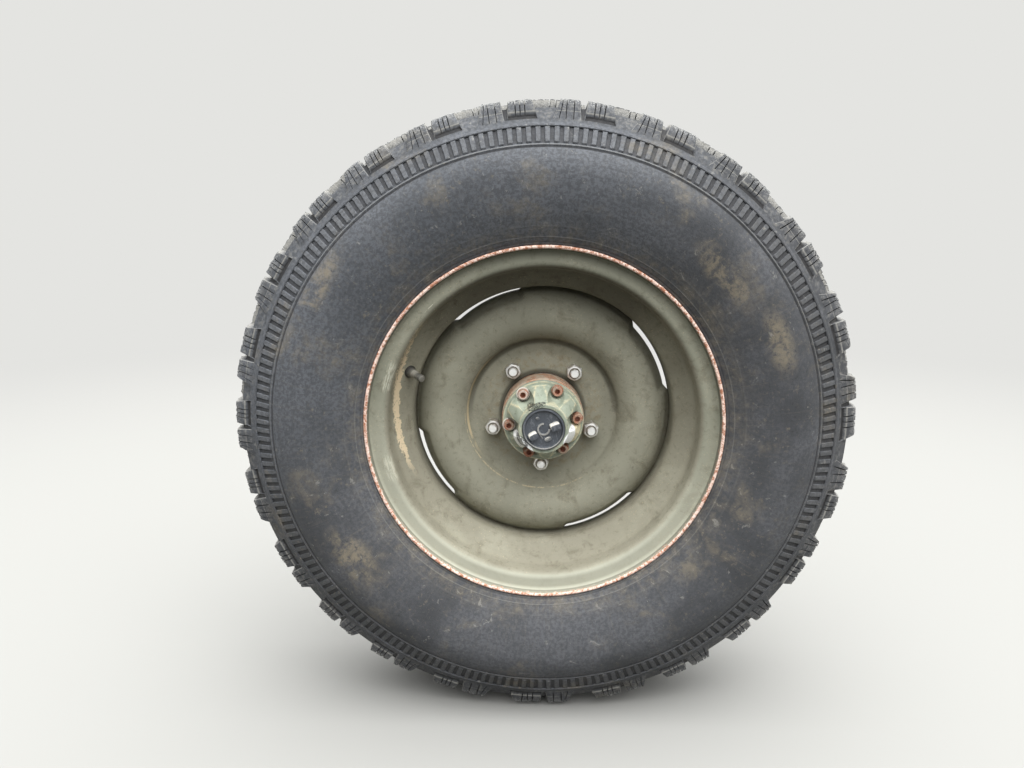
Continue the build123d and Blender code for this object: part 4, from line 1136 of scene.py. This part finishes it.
    def tread(self, half: int) -> bpy.types.Object:
        """One half of the tread.

        Formula: every row has a point on the blocks' outline and one on the floor's, and a column's
        point is floor + (top - floor) times the least of its kind's height and the row's cap. A
        column's angle is its pitch's start plus the weighted mean of its three shares. The lugs'
        inner ends and the middle rows are shifted along the axle by kind, which makes the grooves
        zigzag. The blocks' tops have a random roughness of their radius, held below the limit.
        """
        kinds, shares = self.columns()
        zones, caps, top, floor, weights = self.rows()
        height = np.minimum(self.heights()[kinds][:, zones], caps[None, :])
        pitch = np.array(self.pitches) * (360.0 / sum(self.pitches))
        start = self.first_pitch + np.concatenate([[0.0], np.cumsum(pitch)[:-1]])
        share = shares @ weights.T
        angle = np.radians(start[:, None, None] + share[None] * pitch[:, None, None])
        rng = np.random.default_rng(11)
        rough = rng.normal(0.0, self.roughness, (len(pitch), len(kinds), len(zones)))
        ragged = (height > 0.5) & (top[None, :, 0] > 384.0) & (zones[None, :] > 0)
        point = floor[None] + (top - floor)[None] * height[..., None]
        point = np.broadcast_to(point[None], (len(pitch), *point.shape)).copy()
        point[..., 0] = np.minimum(point[..., 0] + rough * ragged[None], self.limit_r)
        is_bar = (kinds >= Kind.BAR.value) & (kinds <= Kind.SIPE.value)
        is_cleat = kinds >= Kind.CLEAT.value
        ends = (top[:, 1] < 40.0) & (top[:, 1] > 33.0)
        inner = (top[:, 1] < 7.0) & (top[:, 1] > 2.0)
        outward = (is_bar[:, None] * (self.end_shift * ends + self.bar_shift * inner)
                   + is_cleat[:, None] * (self.cleat_shift * inner - self.end_shift * ends))
        point[..., 1] += outward[None] * (top[None, None, :, 0] > 383.0)
        point, angle = point.reshape(-1, len(zones), 2), angle.reshape(-1, len(zones))
        grid = spun(point[..., 0], self.centre_y - point[..., 1], angle)
        # Marks: the blocks' edges paler from wear and painted highlight; floors, the hollows under the lips,
        # sipes and slots darker as painted shade
        edges = (height > 0.8) & (height < 0.95)
        sides = (zones == Zone.LOWER.value) | (zones == Zone.UPPER.value)
        floors = (kinds == Kind.GAP.value)[:, None] & sides[None] & (height < 0.2)
        hollows = is_cleat[:, None] & (height < 0.0)
        cuts = ((kinds == Kind.SIPE.value) | (kinds == Kind.CLEAT_SIPE.value))[:, None] & (height < 0.6)
        slots = (kinds == Kind.SLOT.value)[:, None] & (height < 0.2)
        tone = 0.75 * edges - 0.15 * floors - 1.0 * (hollows | cuts) - 0.75 * slots
        worn = np.broadcast_to(tone[None], (len(pitch), *tone.shape)).reshape(angle.shape)
        name = "tyre_tread_outer" if half == 0 else "tyre_tread_inboard"
        return Skin().ring(self.turned(grid, half), worn).build(name, 28.0)

    def build(self) -> None:
        """Makes the five pieces and dresses them."""
        rubber = self.finish.material()
        dress(self.carcass(), rubber, "tyre_rubber", Body.WHEEL, "tyre")
        for half in (0, 1):
            dress(self.band(half), rubber, "tyre_rubber", Body.WHEEL)
            dress(self.tread(half), rubber, "tyre_rubber", Body.WHEEL)


# Steel wheel


@dataclass
class SteelWheel:
    """Drop-centre rim and the pressed disc that is welded in it, with the valve and the nuts."""

    centre_y: float = CENTRE_Y
    rim_sheet: float = 4.5
    rim_face: tuple[tuple[float, float], ...] = (
        (221.5, 82.85), (221.3, 74.35), (198.3, 74.35), (196.3, 46.85), (172.5, 21.0))
    rim_bends: tuple[float, ...] = (5.0, 9.0, 14.0, 13.0)
    disc_sheet: float = 5.0
    bolt_face_y: float = -85.0
    notches: tuple[tuple[float, float], ...] = ((11.5, 45.0), (100.0, 134.0), (189.0, 224.0), (281.0, 317.0))
    notch_depth: float = 5.3
    stud_ring_r: float = 69.85
    stud_count: int = 5
    stud_first: float = 52.6
    stud_r: float = 6.25
    head_r: float = 9.5
    thread_pitch: float = 1.5
    thread_depth: float = 0.42
    nut_flats: float = 19.0
    valve_turn: float = 160.0
    finish: OlivePaint = OlivePaint()
    plating: Zinc = Zinc()
    soft: Moulded = Moulded("valve_rubber", "55534d", "8a867a", "cfcabb", "22201e", scale=160.0, amount=0.8,
                            rough=0.6)

    def rim(self) -> bpy.types.Object:
        """Rim as one bent sheet, turned about the axle."""
        outer = [(r, self.centre_y - d) for r, d in self.rim_face]
        inner = [(r, self.centre_y + d) for r, d in self.rim_face[::-1]]
        line = bend(np.array(outer + inner), np.array(self.rim_bends + self.rim_bends[::-1]), 9)
        return Skin().ring(lathe(sheet(line, -self.rim_sheet), circle(240))).build("rim_shell", 60.0)

    def disc(self) -> bpy.types.Object:
        """Disc with relief notches.

        Formula: the turned outline of the pressing, whose radius is lessened by the notch's depth
        times a ramp from 152 to 166 mm of radius, where the angle is inside a notch.
        """
        y = self.bolt_face_y
        crown = arc_through((100.0, y - 6.0), (133.1, y - 31.0), (168.4, y - 5.0), 21)
        corner = arc_through((168.4, y - 5.0), (170.9, y - 3.2), (172.7, y - 0.6), 6)
        line = np.vstack([[(55.0, y), (80.5, y), (84.5, y - 0.9), (97.5, y - 4.9)], crown, corner[1:],
                          [(172.6, y + 14.0), (172.6, y + 26.0)]])
        outline = sheet(eased(line, 4.0, 1.0), self.disc_sheet)
        ends = np.array(self.notches).reshape(-1)
        fine = (ends[:, None] + np.linspace(-2.4, 2.4, 9)).reshape(-1)
        angle = np.radians(np.unique(np.round(np.concatenate([np.arange(0.0, 360.0, 1.25), fine]), 2)))
        degrees = np.degrees(angle)
        inside = np.zeros(len(angle))
        for first, last in self.notches:
            inside = np.maximum(inside, smoothstep(first - 1.6, first + 1.6, degrees)
                                * smoothstep(last + 1.6, last - 1.6, degrees))
        radius = outline[None, :, 0]
        pressed = radius - self.notch_depth * inside[:, None] * smoothstep(152.0, 166.0, radius)
        return Skin().ring(spun(pressed, outline[None, :, 1], angle[:, None])).build("disc_pressing", 40.0)

    def nuts(self) -> bpy.types.Object:
        """Five hexagon nuts with domed chamfers and conical feet.

        Formula: the radius at a row is the lesser of the hexagon's and the chamfer's, which falls
        as a quarter round near the front.
        """
        angle = circle(72)
        depth = np.array([3.7, 0.0, -0.01, -1.0, -4.0, -9.0, -11.8, -13.2, -14.4, -15.4, -16.0, -16.4, -16.6,
                          -15.0])
        limit = np.array([6.6, 8.8, 10.4, 11.2, 11.4, 11.4, 11.3, 10.9, 10.3, 9.6, 8.9, 8.3, 7.6, 6.4])
        flats = hexagon(angle, self.nut_flats)[:, None]
        radius = np.minimum(flats, limit[None, :])
        shape = spun(radius, depth, angle[:, None])
        # Marks: painted highlights on the hexagon's corners and the domed front, painted shade at the foot
        # and round the stud's hole
        corner = smoothstep(10.2, 10.9, flats) * ((depth > -13.5) & (depth < -0.5))[None]
        rows = 0.7 * (depth < -14.0) - 0.9 * (depth > -0.5) - 1.2 * (limit < 6.5)
        tone = 0.6 * corner + rows[None]
        spots = ring_places(self.stud_ring_r, self.bolt_face_y - 0.3, self.stud_count, self.stud_first)
        return Skin().copies(shape, tone, spots, 13.0).build("wheel_nuts_turned", 30.0)

    def studs(self) -> bpy.types.Object:
        """Studs from their threaded tips, through disc and hub, to the heads behind.

        Formula: the radius swings by the thread's depth as a triangle wave of station / pitch plus
        the angle's share of a turn, and the tip is rounded off.
        """
        angle = circle(48)
        y = np.concatenate([np.linspace(-22.0, 0.0, 56), [1.0, 22.9, 23.0, 23.1, 27.4, 28.0]])
        body = np.where(y < 22.95, self.stud_r, np.where(y < 27.9, self.head_r, self.head_r - 0.5))
        phase = (y[None, :] / self.thread_pitch + angle[:, None] / (2 * math.pi)) % 1.0
        fade = smoothstep(-22.0, -20.4, y) * smoothstep(0.0, -2.0, y)
        thread = self.thread_depth * np.abs(phase - 0.5) * 2 * fade[None, :]
        radius = body[None, :] - thread - 1.4 * (smoothstep(-19.8, -22.0, y) ** 2)[None, :]
        shape = spun(radius, y, angle[:, None])
        # Marks: painted highlight on the tip, painted shade in the thread's roots
        tone = (0.9 * (y < -21.0) + 0.3 * (y < -17.0))[None, :] - 0.4 * (thread > 0.25)
        spots = ring_places(self.stud_ring_r, self.bolt_face_y, self.stud_count, self.stud_first)
        return Skin().copies(shape, tone, spots, 70.0).build("stud_threads", 40.0)

    def valve(self) -> bpy.types.Object:
        """Rubber valve with its ribbed cap, square to the slope of the rim."""
        turn = math.radians(self.valve_turn)
        high, low = self.rim_face[3], self.rim_face[4]
        slope = np.array([low[0] - high[0], (self.centre_y - low[1]) - (self.centre_y - high[1])])
        slope /= np.linalg.norm(slope)
        out = np.array([-slope[1], slope[0]])
        out *= -1 if out[1] > 0 else 1
        middle = np.array([184.4, self.centre_y - 33.9])
        axis = (out[0] * math.cos(turn), out[1], out[0] * math.sin(turn))
        origin = (middle[0] * math.cos(turn), middle[1], middle[0] * math.sin(turn))
        stem = np.array([(8.2, 0.6), (8.2, -1.6), (7.0, -3.2), (5.6, -5.0), (4.9, -9.0), (4.5, -15.0),
                         (4.3, -18.6), (4.6, -18.8), (4.7, -19.4), (4.7, -25.6), (4.2, -26.6), (3.0, -27.0)])
        angle = circle(48)
        grid = lathe(stem, angle)
        cap = (stem[:, 1] < -19) & (stem[:, 1] > -26)
        ribbed = 1 - 0.045 * (np.cos(angle * 12) > 0)[:, None] * cap[None]
        grid[..., 0] *= ribbed
        grid[..., 2] *= ribbed
        # Marks: painted shade at the foot on the rim and in the neck under the cap, speckled paler scuffs
        # along the stem, a small painted highlight at the cap's end
        tone = np.interp(-stem[:, 1], [-0.6, 3.0, 6.0, 18.0, 19.0, 25.0, 26.6],
                         [-0.9, -0.9, 0.5, 0.3, -0.6, 0.1, 0.25])
        marks = np.broadcast_to(tone, grid.shape[:2])
        return Skin().drum(placed(grid, origin, axis), marks).build("valve_stem", 35.0)

    def build(self) -> None:
        """Makes the wheel's pieces and dresses them."""
        olive = self.finish.material()
        zinc = self.plating.material()
        dress(self.rim(), olive, "olive_paint", Body.WHEEL, "rim")
        dress(self.disc(), olive, "olive_paint", Body.WHEEL, "wheel_disc")
        dress(self.nuts(), zinc, "zinc", Body.WHEEL, "wheel_nuts")
        dress(self.studs(), zinc, "zinc", Body.WHEEL, "wheel_studs")
        dress(self.valve(), self.soft.material(), "valve_rubber", Body.WHEEL, "valve")


# Free-wheeling lock


@dataclass
class FreeWheelLock:
    """Manual free-wheeling lock: ribbed casting, six cap screws and the dial."""

    flange_y: float = -140.0
    flange_r: float = 52.4
    back_y: float = -130.0
    front_y: float = -183.0
    ring_r: float = 31.5
    ring_length: float = 7.0
    seat_r: float = 26.8
    foot_r: float = 48.3
    foot_rise: float = 5.0
    flat_foot_r: float = 46.0
    flat_top_r: float = 31.8
    screw_ring_r: float = 44.35
    screw_first: float = 6.0
    spot_r: float = 8.9
    socket_flats: float = 6.0
    dial_y: float = -186.0
    recess: float = 3.4
    # Washer radius, how pale the washer is, how pale the head's face is
    washers: tuple[tuple[float, float, float], ...] = (
        (7.8, -0.2, 0.1), (7.8, -0.2, 0.2), (8.7, 1.0, 0.5),
        (8.6, 1.0, 0.0), (7.8, -0.4, -0.2), (7.8, -0.2, 0.0))
    # Place, direction, size along it, height, size across, power, lean, and strength of the paler marks (wear
    # and painted highlight) of each block on the dial
    stands: tuple[tuple[float, ...], ...] = (
        (13.6, 5.2, 22.0, 13.0, 6.6, 8.2, 5.0, 2.6, 1.0), (-13.8, -7.0, 29.0, 12.0, 6.6, 7.4, 3.4, 2.6, 1.0),
        (5.5, -12.4, 24.0, 8.5, 1.8, 5.0, 2.6, 0.6, 0.7), (-7.7, 13.9, 0.0, 4.6, 1.4, 3.4, 3.0, 0.3, 0.5),
        (-4.2, -7.3, -56.0, 12.2, 1.1, 1.6, 4.0, 0.0, 0.9))
    paint: CastPaint = CastPaint()
    steel: RustySteel = RustySteel("screw_rust", "a08a78", "80584a", "b87d5c", cover=0.75, scale=120.0,
                                   shine=0.15, grain=0.15, worn="e2ddd4", hollow="7d4630")
    plastic: Moulded = Moulded("dial_plastic", "45494f", "8d9094", "dedace", scale=200.0, amount=0.6,
                               rough=0.42)

    def casting(self) -> bpy.types.Object:
        """Tapered casting with six webs between flats, and a spot face round each screw.

        Formula: over the flange, the front's height is the smooth minimum of the cone, which falls
        from the ring to a low step, and of the cut. The cut is the lesser of the nearest flat, whose
        height falls evenly with the reach along its own direction, and of a steep wall round the
        nearest screw. Near the line where cone and cut cross, the edge is marked as worn by
        e^-(difference / 1.3)^2.
        """
        angle = circle(540)
        radius = np.concatenate([np.linspace(self.seat_r, self.ring_r, 7), [31.53, 31.7],
                                 np.linspace(32.0, 48.0, 82), [48.22, 48.3, 48.42, 48.7],
                                 np.linspace(49.2, 52.0, 9)])
        r, a = np.meshgrid(radius, angle)
        x, z = r * np.cos(a), r * np.sin(a)
        rise = self.flange_y - self.front_y
        top = rise - self.ring_length
        cone = np.interp(r, [self.ring_r, self.foot_r, self.foot_r + 0.12], [top, self.foot_rise, 0.0])
        axes = math.radians(self.screw_first) + circle(6)
        reach = (r[..., None] * np.cos(a[..., None] - axes)).max(-1)
        flat = top * np.maximum(self.flat_foot_r - reach, 0.0) / (self.flat_foot_r - self.flat_top_r)
        spots = np.array(ring_places(self.screw_ring_r, 0.0, 6, self.screw_first))
        gap = np.sqrt((x[..., None] - spots[:, 0]) ** 2 + (z[..., None] - spots[:, 2]) ** 2).min(-1)
        cut = np.minimum(flat, np.maximum(gap - self.spot_r, 0.0) * 5.0)
        share = np.clip(0.5 + 0.5 * (cut - cone) / 0.8, 0.0, 1.0)
        height = np.maximum(cut * (1 - share) + cone * share - 0.8 * share * (1 - share), 0.0)
        ring = r <= self.ring_r
        height = np.where(ring, rise - 0.7 * smoothstep(self.ring_r - 0.9, self.ring_r, r) ** 2, height)
        worn = np.exp(-((cone - cut) / 1.3) ** 2) * (height > 1.5)
        worn = np.maximum(worn, 0.7 * np.exp(-((r - self.ring_r + 0.2) / 0.6) ** 2))
        worn = np.maximum(worn, 0.9 * np.exp(-((r - self.foot_r + 0.3) / 0.5) ** 2) * (height > 1.5))
        # The flange's outer edge is worn; the inner edge by the dial's seat is marked below 0 for painted
        # shade in the gap
        worn = np.maximum(worn, 0.9 * smoothstep(50.6, 51.4, r)) - (r < self.seat_r + 0.4)
        front = np.stack([x, self.flange_y - height, z], axis=-1)
        back = np.array([(self.flange_r, self.flange_y + 0.4), (self.flange_r, self.back_y - 0.5),
                         (self.flange_r - 0.5, self.back_y), (33.0, self.back_y), (32.0, self.back_y - 1.0),
                         (32.0, self.flange_y), (21.6, self.front_y + 9.0),
                         (self.seat_r, self.front_y + 9.0)])
        rest = lathe(back, angle)
        grid = np.concatenate([front, rest], axis=1)
        marks = np.concatenate([worn, np.zeros(rest.shape[:2])], axis=1)
        return Skin().ring(grid, marks).build("lock_casting", 32.0)

    def screws(self) -> bpy.types.Object:
        """Six cap screws with washers, knurled heads and hexagon sockets.

        Formula: the outline is turned, with a small ripple round the head for the knurl, and the
        socket's rows take the hexagon's radius.
        """
        angle = circle(96)
        y = np.array([0.4, 0.0, -1.2, -1.5, -1.5, -7.6, -8.2, -8.6, -8.6, -8.5, -4.4, -4.0])
        r = np.array([7.8, 8.0, 8.0, 7.7, 6.4, 6.4, 6.2, 5.7, 3.9, 3.5, 3.5, 1.0])
        knurl = 1 - 0.035 * (np.cos(angle * 24) > 0)[:, None] * (r == 6.4)[None]
        skin = Skin()
        places = ring_places(self.screw_ring_r, self.flange_y, 6, self.screw_first)
        for k, (spot, washer_r, pale, face) in enumerate(zip(places, *zip(*self.washers))):
            size = np.where(y > -1.6, r * washer_r / 8.0 * (r > 7), 0.0) + r * ((y < -1.6) | (r < 7))
            sunk = hexagon(angle, self.socket_flats)[:, None]
            radius = np.where((r == 3.5)[None], sunk, size[None] * knurl)
            shape = spun(radius, y, angle[:, None])
            tone = pale * (r > 7) + face * ((y < -8.0) & (r > 3.6)) - 0.85 * (r < 3.6)
            skin.drum(placed(shape, spot, (0, -1, 0), 17.0 * k), np.broadcast_to(tone, radius.shape))
        return skin.build("lock_cap_screws", 32.0)

    def dial(self) -> bpy.types.Object:
        """Dial: raised rim, sunk face, two tall grips, a pad, a bump, a pointer and a broken ring.

        Formula: the blocks stand on the sunk face, each at its place and turned to its direction, and
        the broken ring is a turned bead that sinks into the face over its gap.
        """
        y = self.dial_y
        floor_y = y + self.recess
        outline = np.array([(0.5, floor_y), (6.0, floor_y), (20.0, floor_y - 0.1), (22.6, floor_y - 0.3),
                            (23.6, y + 1.8), (23.9, y + 0.4), (24.5, y), (25.6, y + 0.1), (26.3, y + 0.7),
                            (26.5, y + 1.6), (26.5, y + 12.0), (0.5, y + 12.0)])
        # Marks of the rim: paler on its top as a painted highlight, strongest at the bottom, and darker down
        # its outer wall as painted shade in the gap by the casting
        tone = np.array([0, 0, 0, 0, 0, .3, .5, .1, -.5, -.8, -.8, 0])
        grid = lathe(outline, circle(120))
        low = 0.15 + 0.85 * smoothstep(0.2, -0.7, np.sin(circle(120)))[:, None]
        skin = Skin().drum(grid, np.where(tone > 0, tone * low, tone))
        angle = circle(96)
        bead = np.array([(5.4, 0.4), (5.9, -1.3), (7.0, -1.5), (8.1, -1.2), (8.6, 0.4)])
        open_part = smoothstep(0.62, 0.8, np.cos(angle - math.radians(45.0)))
        torus = lathe(bead + np.array([0.0, floor_y]), angle)
        torus[..., 1] += (1.9 * open_part)[:, None]
        skin.ring(torus, np.broadcast_to(np.array([0, .3, .5, .3, 0]), torus.shape[:2]))
        # How much the paler marks show on the block's rows, from the foot to the middle of the front
        rows = np.array([0.0, 0.5, 1.0, 1.0, 0.9, 0.6, 0.3, 0.1, 0.0])
        # Towards the upper left: the sides that face it get the painted highlight
        shine = np.array([-1.0, 1.0]) / math.sqrt(2)
        low_block = 2.0
        for x, z, way, along, tall, across, power, lean, wear_and_light in self.stands:
            a = math.radians(way)
            ahead, aside = np.array([math.cos(a), math.sin(a)]), np.array([-math.sin(a), math.cos(a)])
            shift = (-lean * float(shine @ ahead), -lean * float(shine @ aside))
            block = puffed_block((along, tall, across), power, 0.3, shift)
            edge = block[:, 1, ::2] / np.array([along, across]) * 2
            up = smoothstep(0.1, 0.7, (edge @ np.stack([ahead, aside])) @ shine)
            shown = np.maximum(rows, 0.6 * (rows < 0.5) * (tall < low_block))
            shown[0] = 0.0
            part = up[:, None] if tall > low_block else 0.45 + 0.55 * up[:, None]
            # Painted highlight on the sides facing the upper left, the low blocks paler all over from wear,
            # and painted shadow low on the other sides
            tone = wear_and_light * part * shown - 0.5 * (1 - up[:, None]) * (rows == 0.5)
            skin.drum(placed(block, (x, floor_y, z), (0, -1, 0), way), tone)
        return skin.build("lock_dial_face", 32.0)

    def build(self) -> None:
        """Makes the lock's pieces and dresses them."""
        dress(self.casting(), self.paint.material(), "green_paint", Body.WHEEL, "lock_body")
        dress(self.screws(), self.steel.material(), "screw_steel", Body.WHEEL, "lock_screws")
        dress(self.dial(), self.plastic.material(), "dial_plastic", Body.WHEEL, "lock_dial")


# Hub and brake


@dataclass
class HubAndBrake:
    """Hub, drum, backing plate, spindle and bearings, which keep their solids and get finishes."""

    # The hub darkens inboard of -90 mm as painted shade where its barrel meets the disc
    hub: RustySteel = RustySteel("hub_rust", "ad9c88", "86644f", "be9478", cover=0.7, scale=55.0, shine=0.1,
                                 grain=0.3, painted_shade_y=-90.0)
    cast: RustySteel = RustySteel("drum_rust", "4d453e", "49362b", "7d5236", cover=0.8, scale=30.0, shine=0.3,
                                  grain=0.6)
    plate: DustyPaint = DustyPaint()
    forged: RustySteel = RustySteel("spindle_steel", "5c554c", "45382d", "77543a", cover=0.5, scale=40.0,
                                    shine=0.5, grain=0.3)
    ground: GroundSteel = GroundSteel()

    def build(self) -> None:
        """Repaints the solids."""
        repaint(self.hub.material(), "hub")
        repaint(self.cast.material(), "brake_drum", "wheel_cylinder")
        repaint(self.plate.material(), "backing_plate")
        repaint(self.forged.material(), "spindle")
        repaint(self.ground.material(), "inner_bearing", "outer_bearing", "bearing_nut")


# Studio


def seen_rays(tree: bpy.types.NodeTree) -> Socket:
    """1 for what the camera sees, straight, mirrored or through glass, and 0 for the light on things."""
    path = wired(tree, "LightPath", {})
    result = path.outputs["Is Camera Ray"]
    for name in ("Is Glossy Ray", "Is Transmission Ray"):
        result = wired(tree, "Math", {0: result, 1: path.outputs[name]}, operation="MAXIMUM").outputs[0]
    return result


@dataclass
class Studio:
    """Pale floor, soft lights and the camera at the photograph's place."""

    floor_z: float = -0.4015
    backdrop: str = "e4e4e1"
    floor_seen: str = "989793"
    floor_lit: str = "454542"
    overhead: tuple[float, float, float] = (0.10, -0.24, 1.0)
    even: float = 0.08
    lobe: float = 7.4
    focus: float = 3.0
    daylight: tuple[float, float, float, float] = (0.97, 0.985, 1.0, 1.0)
    eye: tuple[float, float, float] = (-0.0196, -1.1121, 0.2451)
    pitch: float = -11.42
    yaw: float = -1.22
    focal_pixels: float = 770.0
    image_width: float = 1024.0
    fade: tuple[float, float] = (1.2, 3.6)
    lamp_place: tuple[float, float, float] = (0.9, -1.4, 2.4)
    lamp_target: tuple[float, float, float] = (0.0, -0.1, 0.0)
    lamp_size: float = 1.2
    lamp_power: float = 12.0
    floor_reach: float = 40.0

    def floor(self) -> None:
        """Flat floor that runs out to the backdrop's colour.

        Formula: what is seen of the floor is pale and what lights the wheel from it is darker, and
        over the fade's metres the seen part goes over to the backdrop's colour as emission.
        """
        mesh = bpy.data.meshes.new("floor")
        reach = self.floor_reach
        mesh.from_pydata([(-reach, -reach, self.floor_z), (reach, -reach, self.floor_z),
                          (reach, reach, self.floor_z), (-reach, reach, self.floor_z)], [], [(0, 1, 2, 3)])
        floor = bpy.data.objects.new("floor", mesh)
        bpy.context.scene.collection.objects.link(floor)
        f = Finish("floor_paint", self.floor_lit)
        seen = seen_rays(f.tree)
        far = f.ramp(f.vector("LENGTH", f.place), *self.fade)
        f.coat(seen, self.floor_seen)
        f.coat(far, "000000")
        fill(f.shader, {"Emission Color": colour(self.backdrop), "Emission Strength": f.times(seen, far)})
        mesh.materials.append(f.done(1.0, specular=0.0))

    def lamp(self) -> None:
        """Soft square lamp that faces the wheel."""
        data = bpy.data.lights.new("key", "AREA")
        data.size = self.lamp_size
        data.energy = self.lamp_power
        lamp = bpy.data.objects.new("key", data)
        lamp.location = self.lamp_place
        lamp.rotation_mode = "QUATERNION"
        aim = Vector(self.lamp_target) - Vector(self.lamp_place)
        lamp.rotation_quaternion = aim.to_track_quat("-Z", "Y")
        bpy.context.scene.collection.objects.link(lamp)

    def sky(self) -> None:
        """Surroundings: a plain pale colour where they are seen, and soft light mostly from overhead.

        Formula: the light from a direction d is even + lobe max(0, d . o)^focus, where o is overhead.
        """
        world = bpy.data.worlds.new("studio")
        world.use_nodes = True
        tree = world.node_tree
        tree.nodes.clear()
        way = wired(tree, "TexCoord", {}).outputs["Generated"]
        over = Vector(self.overhead).normalized()
        dot = wired(tree, "VectorMath", {0: way, 1: over}, operation="DOT_PRODUCT").outputs["Value"]
        above = wired(tree, "Math", {0: dot, 1: 0.0}, operation="MAXIMUM").outputs[0]
        lobe = wired(tree, "Math", {0: above, 1: self.focus}, operation="POWER").outputs[0]
        strength = wired(tree, "Math", {0: lobe, 1: self.lobe, 2: self.even}, operation="MULTIPLY_ADD")
        lit = wired(tree, "Background", {"Color": self.daylight, "Strength": strength.outputs[0]})
        shown = wired(tree, "Background", {"Color": colour(self.backdrop)})
        either = wired(tree, "MixShader", {0: seen_rays(tree), 1: lit.outputs[0], 2: shown.outputs[0]})
        wired(tree, "OutputWorld", {"Surface": either.outputs[0]})
        bpy.context.scene.world = world

    def camera(self) -> None:
        """Camera at the fitted eye: forward = (sin yaw cos pitch, cos yaw cos pitch, sin pitch)."""
        data = bpy.data.cameras.new("camera")
        data.sensor_width = 36.0
        data.lens = self.focal_pixels / self.image_width * data.sensor_width
        camera = bpy.data.objects.new("camera", data)
        pitch, yaw = math.radians(self.pitch), math.radians(self.yaw)
        forward = Vector((math.sin(yaw) * math.cos(pitch), math.cos(yaw) * math.cos(pitch), math.sin(pitch)))
        camera.location = self.eye
        camera.rotation_mode = "QUATERNION"
        camera.rotation_quaternion = forward.to_track_quat("-Z", "Y")
        bpy.context.scene.collection.objects.link(camera)
        bpy.context.scene.camera = camera

    def build(self) -> None:
        """Sets up the whole studio."""
        self.floor()
        self.sky()
        self.lamp()
        self.camera()
        bpy.context.scene.view_settings.view_transform = "Standard"


def main() -> None:
    """Builds the wheel end in order, then the studio."""
    logging.basicConfig(level=logging.INFO, format="%(name)s %(message)s")
    Tyre().build()
    SteelWheel().build()
    FreeWheelLock().build()
    HubAndBrake().build()
    Studio().build()


if __name__ == "__main__":
    main()
